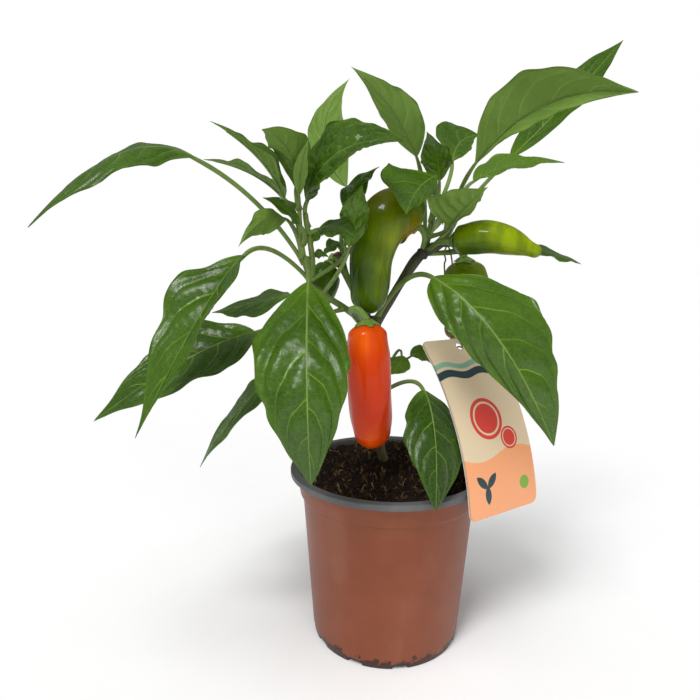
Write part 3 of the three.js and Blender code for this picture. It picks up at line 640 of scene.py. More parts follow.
class Graph:
    """Adds nodes to a tree, fills their inputs and hands back an output."""

    def __init__(self, tree):
        self.tree = tree

    def add(self, kind, inputs=None, out=0, **settings):
        node = self.tree.nodes.new(kind)
        for name, value in settings.items():
            setattr(node, name, value)
        for key, value in (inputs or {}).items():
            self.fill(node.inputs[key], value)
        return node.outputs[out]

    def fill(self, socket, value):
        if isinstance(value, bpy.types.NodeSocket):
            self.tree.links.new(value, socket)
        elif socket.type == "RGBA" and len(value) == 3:
            socket.default_value = (*value, 1.0)
        else:
            socket.default_value = value

    def math(self, operation, first, second=0.0):
        return self.add("ShaderNodeMath", {0: first, 1: second}, operation=operation)

    def times(self, first, second):
        return self.math("MULTIPLY", first, second)

    def mix(self, share, first, second):
        """A colour between two colours."""
        return self.add("ShaderNodeMix", {0: share, 6: first, 7: second}, out=2, data_type="RGBA")

    def tint(self, color, other, mask, most):
        """The colour, turned towards the other one by up to most where the mask is 1."""
        return self.mix(self.times(mask, most), color, other)

    def between(self, value, low, high, to_low=0.0, to_high=1.0):
        """A smooth step from to_low to to_high as the value goes from low to high."""
        ends = {0: value, 1: low, 2: high, 3: to_low, 4: to_high}
        return self.add("ShaderNodeMapRange", ends, interpolation_type="SMOOTHSTEP")

    def here(self):
        return self.add("ShaderNodeTexCoord", out="Object")

    def stretched(self, vector, scale):
        return self.add("ShaderNodeMapping", {"Vector": vector, "Scale": scale})

    def noise(self, vector, scale, detail=3.0, roughness=0.55):
        fields = {"Vector": vector, "Scale": scale, "Detail": detail, "Roughness": roughness}
        return self.add("ShaderNodeTexNoise", fields)

    def cells(self, vector, scale, feature="DISTANCE_TO_EDGE"):
        fields = {"Vector": vector, "Scale": scale}
        return self.add("ShaderNodeTexVoronoi", fields, feature=feature)

    def field(self, name):
        """The x, y and z of a vector stored on the mesh."""
        vector = self.add("ShaderNodeAttribute", out="Vector", attribute_name=name)
        return self.parts(vector)

    def parts(self, vector):
        """The x, y and z of a vector."""
        node = self.tree.nodes.new("ShaderNodeSeparateXYZ")
        self.tree.links.new(vector, node.inputs[0])
        return node.outputs

    def bump(self, height, strength, distance):
        return self.add("ShaderNodeBump", {"Height": height, "Strength": strength, "Distance": distance})

    def group(self, tree, inputs):
        """A group node; its outputs are read by name."""
        node = self.tree.nodes.new("ShaderNodeGroup")
        node.node_tree = tree
        for key, value in inputs.items():
            self.fill(node.inputs[key], value)
        return node.outputs


def group_tree(name, inputs, outputs, build, kind="ShaderNodeTree"):
    """A node group; inputs and outputs give each socket's type, and an input's starting value."""
    tree = bpy.data.node_groups.new(name, kind)
    for label, (socket_type, value) in inputs.items():
        socket = tree.interface.new_socket(label, in_out="INPUT", socket_type=socket_type)
        if value is not None:
            socket.default_value = value
    for label, socket_type in outputs.items():
        tree.interface.new_socket(label, in_out="OUTPUT", socket_type=socket_type)
    graph = Graph(tree)
    entry = tree.nodes.new("NodeGroupInput")
    leave = tree.nodes.new("NodeGroupOutput")
    for label, socket in build(graph, entry.outputs).items():
        tree.links.new(socket, leave.inputs[label])
    return tree


def material(name, build):
    """A material whose surface shader is what build returns."""
    made = bpy.data.materials.new(name)
    made.use_nodes = True
    made.node_tree.nodes.clear()
    graph = Graph(made.node_tree)
    out = graph.tree.nodes.new("ShaderNodeOutputMaterial")
    graph.tree.links.new(build(graph), out.inputs["Surface"])
    return made


def principled(graph, color, roughness, normal=None, **constants):
    """The main surface shader; constants are set on its own sockets."""
    inputs = {"Base Color": color, "Roughness": roughness}
    if normal is not None:
        inputs["Normal"] = normal
    for label, value in constants.items():
        inputs[label.replace("_", " ").title().replace("Ior", "IOR")] = value
    return graph.add("ShaderNodeBsdfPrincipled", inputs)


# ---- effects shared by several materials ----

FLOAT = "NodeSocketFloat"
COLOR = "NodeSocketColor"


def vein_effect():
    """Masks of the midrib and side veins, read from the blade's own field, and a fine net."""
    def build(g, given):
        phase, rib, strength = g.field("veins")
        nearest = g.math("ABSOLUTE", g.math("SUBTRACT", g.math("FRACT", g.math("ADD", phase, 0.5)), 0.5))
        side = g.times(g.between(nearest, 0.0, given["Side width"], 1.0, 0.0), strength)
        centre = g.between(g.math("ABSOLUTE", rib), 0.25, 0.6, 1.0, 0.0)
        spot = g.here()
        coarse = g.between(g.cells(spot, 330.0), 0.0, 0.09, 1.0, 0.0)
        fine = g.between(g.cells(spot, 900.0), 0.0, 0.12, 1.0, 0.0)
        net = g.math("MAXIMUM", coarse, g.times(fine, 0.45))
        return {"Midrib": centre, "Side veins": side, "Net": net}

    outputs = {"Midrib": FLOAT, "Side veins": FLOAT, "Net": FLOAT}
    return group_tree("leaf_vein_masks", {"Side width": (FLOAT, 0.06)}, outputs, build)


def mottle_effect():
    """A slow change between two colours, with a finer one inside it."""
    def build(g, given):
        spot = g.here()
        slow = g.between(g.noise(spot, given["Slow scale"], 2.0), 0.32, 0.68)
        quick = g.between(g.noise(spot, given["Quick scale"], 4.0, 0.6), 0.3, 0.7)
        share = g.math("ADD", g.times(slow, 0.65), g.times(quick, 0.35))
        return {"Color": g.mix(share, given["First"], given["Second"])}

    inputs = {
        "First": (COLOR, (0.1, 0.1, 0.1, 1)), "Second": (COLOR, (0.2, 0.2, 0.2, 1)),
        "Slow scale": (FLOAT, 25.0), "Quick scale": (FLOAT, 160.0),
    }
    return group_tree("mottled_color", inputs, {"Color": COLOR}, build)


def speck_effect():
    """Scattered specks of dirt."""
    def build(g, given):
        spot = g.here()
        dots = g.between(g.cells(spot, given["Scale"], "F1"), 0.05, 0.16, 1.0, 0.0)
        chosen = g.between(g.noise(spot, 60.0, 2.0), given["Rarity"], 0.75)
        return {"Specks": g.times(dots, chosen)}

    inputs = {"Scale": (FLOAT, 300.0), "Rarity": (FLOAT, 0.6)}
    return group_tree("dirt_specks", inputs, {"Specks": FLOAT}, build)


VEINS = vein_effect()
MOTTLE = mottle_effect()
SPECKS = speck_effect()


def mottled(g, first, second, slow=25.0, quick=160.0):
    """A mottled colour between two; slow and quick are the scales of its two changes."""
    colors = {"First": first, "Second": second, "Slow scale": slow, "Quick scale": quick}
    return g.group(MOTTLE, colors)["Color"]


# ---- materials ----

def leaf_face(name, dark, light, vein, look):
    """A leaf side: its two greens, its vein colour and how it takes the light."""
    def build(g):
        tone, along, depth = g.field("blade")
        masks = g.group(VEINS, {"Side width": look["vein_width"]})
        young_and_glow = look["young_and_glow"]
        green = mottled(g, dark, light, 28.0, 210.0)
        # A high tone turns the green towards the young green: partly a young leaf's own colour, partly
        # painted glow of light shining through.
        green = g.tint(green, young_and_glow, g.between(tone, 0.0, 1.0), 0.55)
        green = g.tint(green, look["deep"], g.between(tone, 0.0, -0.6), 0.7)
        # Lighter towards the stalk end: painted glow of light shining through the leaf.
        green = g.tint(green, young_and_glow, g.between(along, 0.0, 0.22, 1.0, 0.0), look["base"])
        # Lighter towards the edge: painted glow of light shining through the leaf.
        green = g.tint(green, young_and_glow, g.between(depth, 0.72, 1.0), 0.22)
        for mask, most in (("Net", "net"), ("Side veins", "side"), ("Midrib", "rib")):
            green = g.tint(green, vein, masks[mask], look[most])
        grain = g.noise(g.here(), 900.0, 2.0)
        roughness = g.between(grain, 0.3, 0.7, look["smooth"], look["rough"])
        height = g.math("SUBTRACT", g.times(grain, 0.12), g.times(masks["Net"], look["sink"]))
        normal = g.bump(height, look["bump"], 0.00025)
        surface = principled(g, green, roughness, normal, specular_ior_level=look["specular"])
        through = g.mix(0.5, green, look["glow"])
        behind = g.add("ShaderNodeBsdfTranslucent", {"Color": through})
        return g.add("ShaderNodeMixShader", {0: look["through"], 1: surface, 2: behind})

    return material(name, build)


# The young green of each side is also its painted glow of light shining through; base is how much of it the
# stalk end takes.
LEAF_UPPER = leaf_face(
    "leaf_upper", (0.024, 0.066, 0.002), (0.050, 0.120, 0.004), (0.20, 0.34, 0.028),
    dict(
        vein_width=0.042, young_and_glow=(0.115, 0.235, 0.010), deep=(0.012, 0.036, 0.004), net=0.16, side=0.85,
        rib=0.9, base=0.5, smooth=0.25, rough=0.34, sink=0.7, bump=0.2, specular=0.5,
        glow=(0.34, 0.66, 0.01), through=0.18,
    ),
)
LEAF_UNDER = leaf_face(
    "leaf_under", (0.098, 0.190, 0.020), (0.145, 0.255, 0.036), (0.40, 0.54, 0.18),
    dict(
        vein_width=0.045, young_and_glow=(0.26, 0.42, 0.080), deep=(0.045, 0.09, 0.018), net=0.12, side=0.7,
        rib=0.8, base=0.3, smooth=0.5, rough=0.65, sink=-0.9, bump=0.35, specular=0.25,
        glow=(0.36, 0.64, 0.01), through=0.25,
    ),
)


def stalk_material(name, pale, deep, streak):
    """A green stalk with streaks along it."""
    def build(g):
        along, around, _ = g.field("skin")
        lanes = g.add("ShaderNodeCombineXYZ", {0: g.times(along, 3.0), 1: g.times(around, 14.0)})
        streaks = g.noise(lanes, 1.0, 3.0)
        green = g.tint(mottled(g, pale, deep, 60.0, 300.0), streak, g.between(streaks, 0.45, 0.7), 0.5)
        return principled(g, green, 0.42, g.bump(streaks, 0.35, 0.0004))

    return material(name, build)


LEAF_STALK = stalk_material("leaf_stalk", (0.17, 0.26, 0.05), (0.10, 0.17, 0.03), (0.075, 0.10, 0.025))
CALYX_GREEN = stalk_material("calyx_green", (0.16, 0.26, 0.045), (0.09, 0.17, 0.025), (0.07, 0.12, 0.02))


def stem_material():
    """Young wood: green shoots, brown at the root end, dark purple at the forks."""
    def build(g):
        fork, wood, _ = g.field("skin")
        fibres = g.noise(g.stretched(g.here(), (900.0, 900.0, 90.0)), 1.0, 3.0)
        green = mottled(g, (0.10, 0.17, 0.03), (0.17, 0.25, 0.055), 50.0, 260.0)
        bark = g.mix(g.between(fibres, 0.35, 0.65), (0.045, 0.035, 0.014), (0.11, 0.10, 0.035))
        color = g.mix(wood, green, bark)
        color = g.tint(color, (0.012, 0.010, 0.010), fork, g.between(fibres, 0.2, 0.6, 0.75, 1.0))
        return principled(g, color, 0.5, g.bump(fibres, 0.5, 0.0005))

    return material("stem", build)


STEM = stem_material()


def bud_material(name, first, second, roughness):
    def build(g):
        return principled(g, mottled(g, first, second, 300.0, 1200.0), roughness)

    return material(name, build)


BUD = bud_material("flower_bud", (0.22, 0.34, 0.08), (0.35, 0.42, 0.18), 0.5)
WITHERED = bud_material("withered_flower", (0.16, 0.10, 0.04), (0.05, 0.035, 0.02), 0.8)


def pepper_skin(name, base, yellow, dark, blush):
    """Waxy pepper skin, blended along the fruit, with a scar at its tip."""
    def build(g):
        more_yellow, more_dark, more_blush = g.field("blend")
        along = g.field("skin")[0]
        streaks = g.noise(g.stretched(g.here(), (160.0, 160.0, 22.0)), 1.0, 3.0)
        patches = g.between(g.noise(g.here(), 55.0, 3.0), 0.35, 0.65)
        color = g.tint(base, yellow, more_yellow, g.between(streaks, 0.3, 0.7, 0.45, 1.0))
        color = g.tint(color, dark, more_dark, g.between(patches, 0.0, 1.0, 0.5, 1.0))
        color = g.tint(color, blush, more_blush, g.between(patches, 0.0, 1.0, 0.6, 1.0))
        color = g.tint(color, (0.05, 0.03, 0.012), g.between(along, 0.985, 0.994), 0.7)
        pores = g.noise(g.here(), 1500.0, 2.0)
        height = g.math("ADD", g.noise(g.here(), 130.0, 2.0), g.times(pores, 0.04))
        shine = {"coat_weight": 0.3, "coat_roughness": 0.07, "specular_ior_level": 0.08}
        roughness = g.between(pores, 0.3, 0.7, 0.30, 0.40)
        return principled(g, color, roughness, g.bump(height, 0.25, 0.0012), **shine)

    return material(name, build)


RIPE_SKIN = pepper_skin(
    "ripe_skin", (0.52, 0.032, 0.001), (0.76, 0.120, 0.002), (0.38, 0.013, 0.001), (0.3, 0.1, 0.01),
)
GREEN_SKIN = pepper_skin(
    "green_skin", (0.038, 0.092, 0.001), (0.24, 0.32, 0.001), (0.016, 0.044, 0.001), (0.27, 0.085, 0.001),
)


def pot_outside_material():
    """Satin terracotta-brown plastic, faintly mottled, with a few specks of dirt."""
    def build(g):
        brown = mottled(g, (0.180, 0.046, 0.018), (0.215, 0.060, 0.027), 18.0, 90.0)
        specks = g.group(SPECKS, {"Scale": 260.0, "Rarity": 0.58})["Specks"]
        brown = g.tint(brown, (0.035, 0.018, 0.012), specks, 0.7)
        height = g.parts(g.here())[2]
        splash = g.math("ADD", height, g.times(g.noise(g.here(), 150.0, 4.0, 0.7), -0.022))
        brown = g.tint(brown, (0.020, 0.012, 0.009), g.between(splash, -0.0065, -0.0045, 1.0, 0.0), 0.85)
        dust = g.between(g.noise(g.stretched(g.here(), (35.0, 35.0, 12.0)), 1.0, 4.0), 0.5, 0.8)
        brown = g.tint(brown, (0.42, 0.27, 0.20), dust, 0.12)
        grain = g.noise(g.here(), 2600.0, 2.0)
        roughness = g.math("ADD", g.between(grain, 0.3, 0.7, 0.36, 0.44), g.times(dust, 0.12))
        return principled(g, brown, roughness, g.bump(grain, 0.12, 0.0002), specular_ior_level=0.28)

    return material("pot_outside", build)


def pot_lip_material():
    """The grey lip and inside of the pot, dusty with peat."""
    def build(g):
        grey = mottled(g, (0.070, 0.072, 0.074), (0.110, 0.112, 0.113), 30.0, 160.0)
        specks = g.group(SPECKS, {"Scale": 330.0, "Rarity": 0.5})["Specks"]
        grey = g.tint(grey, (0.03, 0.02, 0.012), specks, 0.8)
        grain = g.noise(g.here(), 2600.0, 2.0)
        return principled(g, grey, 0.48, g.bump(grain, 0.12, 0.0002))

    return material("pot_lip", build)


POT_OUTSIDE = pot_outside_material()
POT_LIP = pot_lip_material()


def soil_material(name, first, second, third):
    """Moist peat, bark or fibre in three tones."""
    def build(g):
        glint = g.between(g.noise(g.here(), 420.0, 3.0), 0.6, 0.75)
        brown = g.tint(mottled(g, first, second, 130.0, 700.0), third, glint, 0.6)
        height = g.noise(g.here(), 900.0, 5.0, 0.7)
        return principled(g, brown, 0.92, g.bump(height, 0.8, 0.0012), specular_ior_level=0.25)

    return material(name, build)


PEAT = soil_material("soil_peat", (0.010, 0.006, 0.004), (0.026, 0.015, 0.009), (0.07, 0.04, 0.022))
BARK = soil_material("soil_bark", (0.036, 0.018, 0.009), (0.085, 0.046, 0.022), (0.19, 0.12, 0.06))
FIBRE = soil_material("soil_fibre", (0.14, 0.085, 0.038), (0.27, 0.175, 0.085), (0.42, 0.31, 0.17))

CREAM = (0.68, 0.54, 0.36)
PEACH = (0.80, 0.34, 0.155)
PRINT_RED = (0.62, 0.05, 0.035)
PRINT_GREEN = (0.18, 0.36, 0.04)
PRINT_MINT = (0.22, 0.42, 0.28)
PRINT_TEAL = (0.014, 0.042, 0.048)


def tag_material():
    """Glossy printed card: a cream sky with two bands, peach hills, ringed red suns, a sprig and a dot."""
    soft = 0.12  # half the width of a printed edge
    suns = ((-3.0, 58.0, 13.0), (12.0, 44.0, 7.0))
    sun_rings = ((1.0, PRINT_RED), (0.82, CREAM), (0.72, PRINT_RED))
    sprig = ((-17.0, 21.0, 3.9, 3.9), (-9.0, 21.0, 3.9, -3.9), (-13.0, 13.0, 5.5, 0.0))

    def build(g):
        across, up, _ = g.field("card")

        def wave(length, height):
            return g.times(g.math("SINE", g.times(across, length)), height)

        def disc(x, y, radius):
            dx = g.math("SUBTRACT", across, x)
            dy = g.math("SUBTRACT", up, y)
            distance = g.math("SQRT", g.math("ADD", g.times(dx, dx), g.times(dy, dy)))
            return g.between(distance, radius - soft, radius + soft, 1.0, 0.0)

        def lens(x, y, radius, apart_x, apart_y):
            first = disc(x - apart_x, y - apart_y, radius)
            return g.math("MINIMUM", first, disc(x + apart_x, y + apart_y, radius))

        def band(low, high, sway):
            level = g.math("SUBTRACT", up, wave(0.24, sway))
            above = g.between(level, low - soft, low + soft)
            return g.times(above, g.between(level, high - soft, high + soft, 1.0, 0.0))

        hill = g.math("ADD", wave(0.11, 3.0), 36.0)
        ground = g.between(g.math("SUBTRACT", up, hill), -soft, soft, 1.0, 0.0)
        color = g.mix(ground, CREAM, PEACH)
        color = g.mix(band(93.0, 96.5, 1.2), color, PRINT_MINT)
        color = g.mix(band(86.0, 91.0, 1.2), color, PRINT_TEAL)
        for x, y, radius in suns:
            for share, ink in sun_rings:
                color = g.mix(disc(x, y, radius * share), color, ink)
        for x, y, lean_x, lean_y in sprig:
            color = g.mix(lens(x, y, 8.0, lean_x, lean_y), color, PRINT_TEAL)
        color = g.mix(disc(19.0, 15.0, 4.2), color, PRINT_GREEN)
        grain = g.noise(g.here(), 3000.0, 2.0)
        return principled(g, color, g.between(grain, 0.3, 0.7, 0.26, 0.34), g.bump(grain, 0.05, 0.0002))

    return material("tag_print", build)


def tag_edge_material():
    """Plain off-white card, for its back and its edge."""
    def build(g):
        return principled(g, mottled(g, (0.66, 0.62, 0.54), (0.75, 0.72, 0.64)), 0.4)

    return material("tag_back", build)


def tie_material():
    """Brown coated wire, twisted along its length."""
    def build(g):
        along, around, _ = g.field("skin")
        twist = g.math("SINE", g.times(g.math("ADD", g.times(along, 60.0), around), TURN))
        brown = g.mix(g.between(twist, -0.6, 0.6), (0.075, 0.06, 0.02), (0.15, 0.12, 0.045))
        return principled(g, brown, 0.55, g.bump(twist, 0.6, 0.0003))

    return material("tie_wire", build)


TAG_PRINT = tag_material()
TAG_BACK = tag_edge_material()
TIE_WIRE = tie_material()


# ---- leaves ----

def bezier(a, b, c, s):
    s = s[:, None]
    return (1 - s) ** 2 * a + 2 * s * (1 - s) * b + s * s * c


def bezier_along(a, b, c, s):
    s = s[:, None]
    return unit((1 - s) * (b - a) + s * (c - b))


def width_share(s, belly, taper, blunt):
    """Share of the full width at s along the midrib: blunt at the stalk, drawn out at the tip."""
    rising = np.sin(math.pi / 2 * np.minimum(s / belly, 1)) ** blunt
    falling = np.cos(math.pi / 2 * np.clip((s - belly) / (1 - belly), 0, 1)) ** taper
    return np.where(s < belly, rising, falling)


def pucker(x, y, size, seed):
    """Cushions between cell walls: 0 on a wall and up to 1 inside, over a plane in millimetres."""
    gx, gy = x / size, y / size
    column, row = np.floor(gx), np.floor(gy)
    nearest = np.full(gx.shape, 9.0)
    second = np.full(gx.shape, 9.0)
    for i in (-1, 0, 1):
        for j in (-1, 0, 1):
            key = (column + i) * 127.1 + (row + j) * 311.7 + seed
            shift_x = np.modf(np.abs(np.sin(key) * 4375.85))[0]
            shift_y = np.modf(np.abs(np.sin(key + 77.7) * 2243.51))[0]
            away = np.hypot(column + i + shift_x - gx, row + j + shift_y - gy)
            second = np.minimum(second, np.maximum(nearest, away))
            nearest = np.minimum(nearest, away)
    return np.clip((second - nearest) * 1.6, 0, 1) ** 0.7


def surface_normals(grid):
    """Directions out of the upper side of a sheet, at each of its points."""
    return unit(np.cross(np.gradient(grid, axis=1), np.gradient(grid, axis=0)))


def blade_share(look, s, v):
    """The share of each half's full width, down the midrib (s) and across (v: -1 is the left edge)."""
    left = width_share(s, look["belly"], look["taper"], look["blunt"])
    if "right_half" not in look:
        return left
    return np.where(v < 0, left, look["right_reach"] * width_share(s, *look["right_half"]))


def vein_phase(look, s, depth, number, start):
    """A count over half a blade that goes up by one from each side vein to the next."""
    jitter = look["jitter"] * np.sin(TURN * (1.3 * s + 0.37 * number + start))
    wander = look["wander"] * np.sin(TURN * (1.7 * depth + 2.9 * s + 0.61 * number + start)) * depth
    origin = s - look["sweep"] * depth - look["curl"] * depth ** 3
    return look["pairs"] * origin + start + jitter + wander


def vein_strength(look, phase, depth, number):
    """How clear each side vein is: it fades at the edge, and some veins are fainter than others."""
    vein = np.round(phase)
    strength = np.clip((1 - depth) * 1.6, 0, 1) * np.clip((phase - 0.5) * 6, 0, 1)
    strength = strength * (0.72 + 0.28 * np.sin(2.4 * vein + 1.7 * number))
    return strength * np.clip((look["pairs"] * 0.97 + 0.35 - vein) * 4, 0, 1)


def leaf_piece(name, leaf, number):
    """A leaf in one mesh: a quilted blade with an upper and a lower side, and a stalk and midrib."""
    look = {**LEAF, **leaf}
    base, mid, tip, left, right = (
        np.array(leaf[key], float) for key in ("base", "mid", "tip", "left", "right")
    )
    bow = 2 * mid - base / 2 - tip / 2
    across = right - left
    width = np.linalg.norm(across)
    size = min(width / look["full_width"], look["most"])
    length = np.linalg.norm(mid - base) + np.linalg.norm(tip - mid)
    rows = int(np.clip(length / BLADE_GRID["row"], *BLADE_GRID["rows"]))
    half = int(np.clip(width / BLADE_GRID["column"], *BLADE_GRID["columns"]))
    columns = 2 * half + 1

    def cross_frame(s):
        along = bezier_along(base, bow, tip, s)
        side = unit(across - along * (along @ across)[:, None])
        return bezier(base, bow, tip, s), side, np.cross(side, along)

    centre, side, up = cross_frame(np.array([look["belly"]]))
    reach = [((edge - centre[0]) @ side[0], (edge - centre[0]) @ up[0]) for edge in (left, right)]

    # The sheet: its outline and its waves, then the swelling between the veins.
    rib_line = 0.004 + 0.993 * np.linspace(0, 1, rows)
    s = rib_line[:, None]
    centre, side, up = cross_frame(rib_line)
    v = np.linspace(-1, 1, columns)
    v = np.sign(v) * np.abs(v) ** BLADE_GRID["crowding"]
    share = blade_share(look, s, v)
    depth = np.abs(v)[None, :]
    phases = [vein_phase(look, s, depth, number, start) for start in VEIN_STARTS]
    phase = np.where(v < 0, *phases)
    swell = 0.5 - 0.5 * np.cos(TURN * np.maximum(phase, 0))
    out = share * depth * np.where(v < 0, reach[0][0], reach[1][0])
    out = out * (1 + look["scallop"] * (2 * swell - 1) * depth ** 3)
    rise = share * depth ** look["cup"] * np.where(v < 0, reach[0][1], reach[1][1])
    edge_wave = look["wave"] * depth ** 2 * np.sin(TURN * look["waves"] * s + np.where(v < 0, 0.0, 2.0))
    fine_wave = np.sin(TURN * look["fine_waves"] * s + number + np.where(v < 0, 1.0, 3.0))
    rise = rise + share * (edge_wave + look["fine_wave"] * size * depth ** 4 * fine_wave)
    sheet = centre[:, None] + side[:, None] * out[..., None] + up[:, None] * rise[..., None]

    off_rib = np.abs(out)
    cushions = pucker(s * length + 40 * (v > 0), out, look["pucker_size"], number)
    quilt = look["quilt"] * size * (swell ** 0.75 - 0.5) * np.clip(off_rib / 5, 0, 1) * (1 - 0.7 * depth ** 4)
    puckers = look["pucker"] * size * (cushions - 0.5) * (np.clip(off_rib / 4, 0, 1) * (1 - 0.9 * depth ** 5))
    lift = (quilt + puckers) * np.clip(share * 1.6, 0, 1)
    sheet = sheet + surface_normals(sheet) * lift[..., None]

    # Its two sides, with the midrib and the side veins sunk in above and raised below.
    normal = surface_normals(sheet)
    strength = vein_strength(look, phase, depth, number)
    to_vein = np.abs(phase - np.round(phase))
    ridge = size * np.exp(-(to_vein / VEIN_WIDTH) ** 2) * strength * np.clip(off_rib / 2, 0, 1)
    rib_width = (RIB["wide"] * (1 - s) ** 0.8 + RIB["narrow"]) * max(size, 0.5)
    groove = size * np.exp(-(out / (0.9 * rib_width)) ** 2)
    thick = look["thickness"] / 2
    upper = sheet + normal * (thick - look["vein_sunk"] * ridge - look["groove"] * groove)[..., None]
    lower = sheet - normal * (thick + look["vein_raised"] * ridge)[..., None]

    shape = Shape("veins", "blade", "skin")
    quads = grid_faces(rows, columns)
    blade = triples(look["tone"], s, depth)
    masks = [triples(q, out / rib_width, strength)[quads] for q in phases]
    on_left = (quads[:, 0] % columns < half)[:, None, None]
    veins = np.where(on_left, *masks)
    for slot, side_points, turn in ((0, upper, -1), (1, lower, 1)):
        faces = quads[:, ::turn]
        corners = {"veins": veins[:, ::turn].reshape(-1, 3), "blade": blade[faces.ravel()]}
        shape.add(side_points.reshape(-1, 3), faces.tolist(), slot, **corners)
    rim = rim_faces(rows, columns)
    no_veins = np.tile([0.5, 9.0, 0.0], (rim.size, 1))
    shape.join(rim, 0, veins=no_veins, blade=np.concatenate([blade, blade])[rim.ravel()])

    along_rib = rib_line < RIB["end"]
    rib = (sheet[along_rib, half], normal[along_rib, half], rib_width[along_rib, 0])
    add_leaf_stalk(shape, look, (base, bow), rib)
    return shape.piece(f"{name}_grown", [LEAF_UPPER, LEAF_UNDER, LEAF_STALK])


def add_leaf_stalk(shape, look, blade_start, rib):
    """The stalk from the stem to the blade, and the raised midrib under the blade."""
    base, bow = blade_start
    ridge_line, normal, rib_width = rib
    start = np.array(look["stalk"], float)
    lead = np.linalg.norm(base - start) * look["lead"]
    steps = STALK["steps"]
    share = np.linspace(0, 1, steps)
    radius = look["stalk_radius"]
    rib_radius = np.minimum(rib_width, radius)
    sunk = RIB["sink"] * rib_radius
    stalk = bezier(start, base - unit(bow - base) * lead, base, share)
    stalk = stalk - normal[0] * (sunk[0] * share ** 4)[:, None]
    line = np.concatenate([stalk[:-1], ridge_line - normal * sunk[:, None]])
    walked = walked_along(line)
    places = np.linspace(0, walked[-1], int(np.clip(walked[-1] / STALK["ring"], *STALK["rings"])))
    join = walked[steps - 1]
    swollen = radius * (1 + STALK["swell"] * np.exp(-(places / STALK["swell_reach"]) ** 2))
    along_rib = np.interp(places, walked[steps - 1:], rib_radius[: len(walked) - steps + 1])
    blend = np.clip((places - join + 8) / 12, 0, 1)
    radii = swollen * (1 - blend) + along_rib * blend
    add_tube(shape, on_line(places, walked, line), radii, STALK["sides"], 2)


# ---- stem, buds and peppers ----

def stem_piece():
    """The forked stem in one mesh, its lines swollen into each other, with buds and old flowers."""
    shape = Shape("skin")
    for name, (knots, radii) in STEMS.items():
        span = steps_of(knots).sum()
        ribs = STEM_MESH["trunk_ribs" if name == "trunk" else "ribs"]

        def form(s, angle, ribs=ribs, span=span):
            ridge = STEM_MESH["rib"] * np.cos(ribs * angle + 0.6 * np.sin(7 * s))
            knuckle = STEM_MESH["knuckle"] * np.sin(s * span / 5) * np.cos(angle + 3 * s)
            return 1 + ridge + knuckle

        line = smooth_line(knots, int(span / STEM_MESH["step"]) + 2)
        add_tube(shape, line, radii, STEM_MESH["sides"], 0, form)
    for k, (knots, radii) in enumerate(BUDS):
        add_tube(shape, smooth_line(knots, 26), radii, 12, 1 if k < 2 else 2)
    for x, y, z, _ in FORKS[:2]:
        line = smooth_line([(x, y, z + lift) for lift in SWELLING["heights"]], 9)
        add_tube(shape, line, SWELLING["radii"], 16, 0, lambda s, a: 1 + 0.08 * np.cos(3 * a))
    points = np.concatenate(shape.points)
    high = points[:, 2]
    low, top = WOOD["branch_heights"]
    branch = (points[:, 0] > WOOD["branch_from"]) & (high > low) & (high < top)
    dark = np.where(branch, WOOD["dark"], 0.0)
    for *place, reach in FORKS:
        away = np.linalg.norm(points - place, axis=1)
        dark = np.maximum(dark, np.clip(1.25 - away / reach, 0, 1))
    wood = np.where(branch, WOOD["wood"], np.clip((WOOD["top"] - high) / WOOD["fade"], 0, 1))
    corners = np.concatenate([np.asarray(face) for face in shape.faces])
    shape.fields["skin"] = [triples(dark, wood, 0.0)[corners]]
    return shape.piece("stem_grown", [STEM, BUD, WITHERED])


def pepper_profile(pepper):
    """The fruit's middle line, its directions, and its radius from a rounded shoulder to a rounded tip."""
    line = smooth_line(pepper["line"], PEPPER["rings"])
    length = steps_of(line).sum()
    given = list(pepper["radii"])
    given[0] = given[1] * PEPPER["shoulder"]
    given[-1] = given[-2] * PEPPER["tip"]
    s = 0.5 - 0.5 * np.cos(np.linspace(0, math.pi, PEPPER["rings"]))
    line = on_line(s, np.linspace(0, 1, len(line)), line)
    at_top, at_tip = PEPPER["closing"]
    high = np.clip(s * length / (given[1] * at_top), 0, 1)
    low = np.clip((1 - s) * length / (given[-2] * at_tip), 0, 1)
    closing = np.sqrt(1 - (1 - high) ** 2) * np.sqrt(1 - (1 - low) ** 2)
    return s, line, frames(line), spread(given, s) * closing


def pepper_piece(name, pepper, number):
    """A softly lobed fruit, dimpled under its cap, with a blunt tip."""
    sides = PEPPER["sides"]
    s, line, (_, side, other), radii = pepper_profile(pepper)
    angle = circle(sides)[None, :]
    down = s[:, None]
    ends = 0.7 + 1.6 * np.abs(2 * down - 1) ** 3
    crease = np.abs(np.cos(pepper["lobes"] * angle / 2 + 0.4 * np.sin(3 * down + number)))
    form = 1 + PEPPER["lobe"] * ends * (2 * crease ** 0.7 - 1.2)
    dents = 0.02 * np.sin(2 * angle + 9 * down + number) + 0.01 * np.sin(5 * angle - 14 * down)
    reach = radii[:, None] * (form + dents)
    grid = line[:, None] + reach[..., None] * arms(angle, side, other)
    flat = grid[1:-1].reshape(-1, 3)
    points = np.concatenate([flat, grid[0].mean(axis=0)[None], grid[-1].mean(axis=0)[None]])
    wash = 1 - PEPPER["wash"] + PEPPER["wash"] * np.cos(angle - pepper["streak"])
    tone = [np.clip(spread(pepper[key], s[1:-1])[:, None] * wash, 0, 1) for key in ("yellow", "dark")]
    blend = triples(*tone, 0.0)
    for place, radius, color in pepper["patches"]:
        near = np.exp(-(np.linalg.norm(flat - place, axis=1) / radius) ** 2)[:, None]
        blend = blend * (1 - near) + near * np.array(color)
    blend = np.concatenate([blend, blend[:1], blend[-1:]])
    skin = np.concatenate([triples(down[1:-1], angle / TURN, 0.0), [[0, 0, 0]], [[1, 0, 0]]])
    shape = Shape("blend", "skin")
    shape.add(points, capped_faces(len(s) - 2, sides), 0, blend=blend, skin=skin)
    return shape.piece(f"{name}_skin", [RIPE_SKIN if name == "ripe_pepper" else GREEN_SKIN])


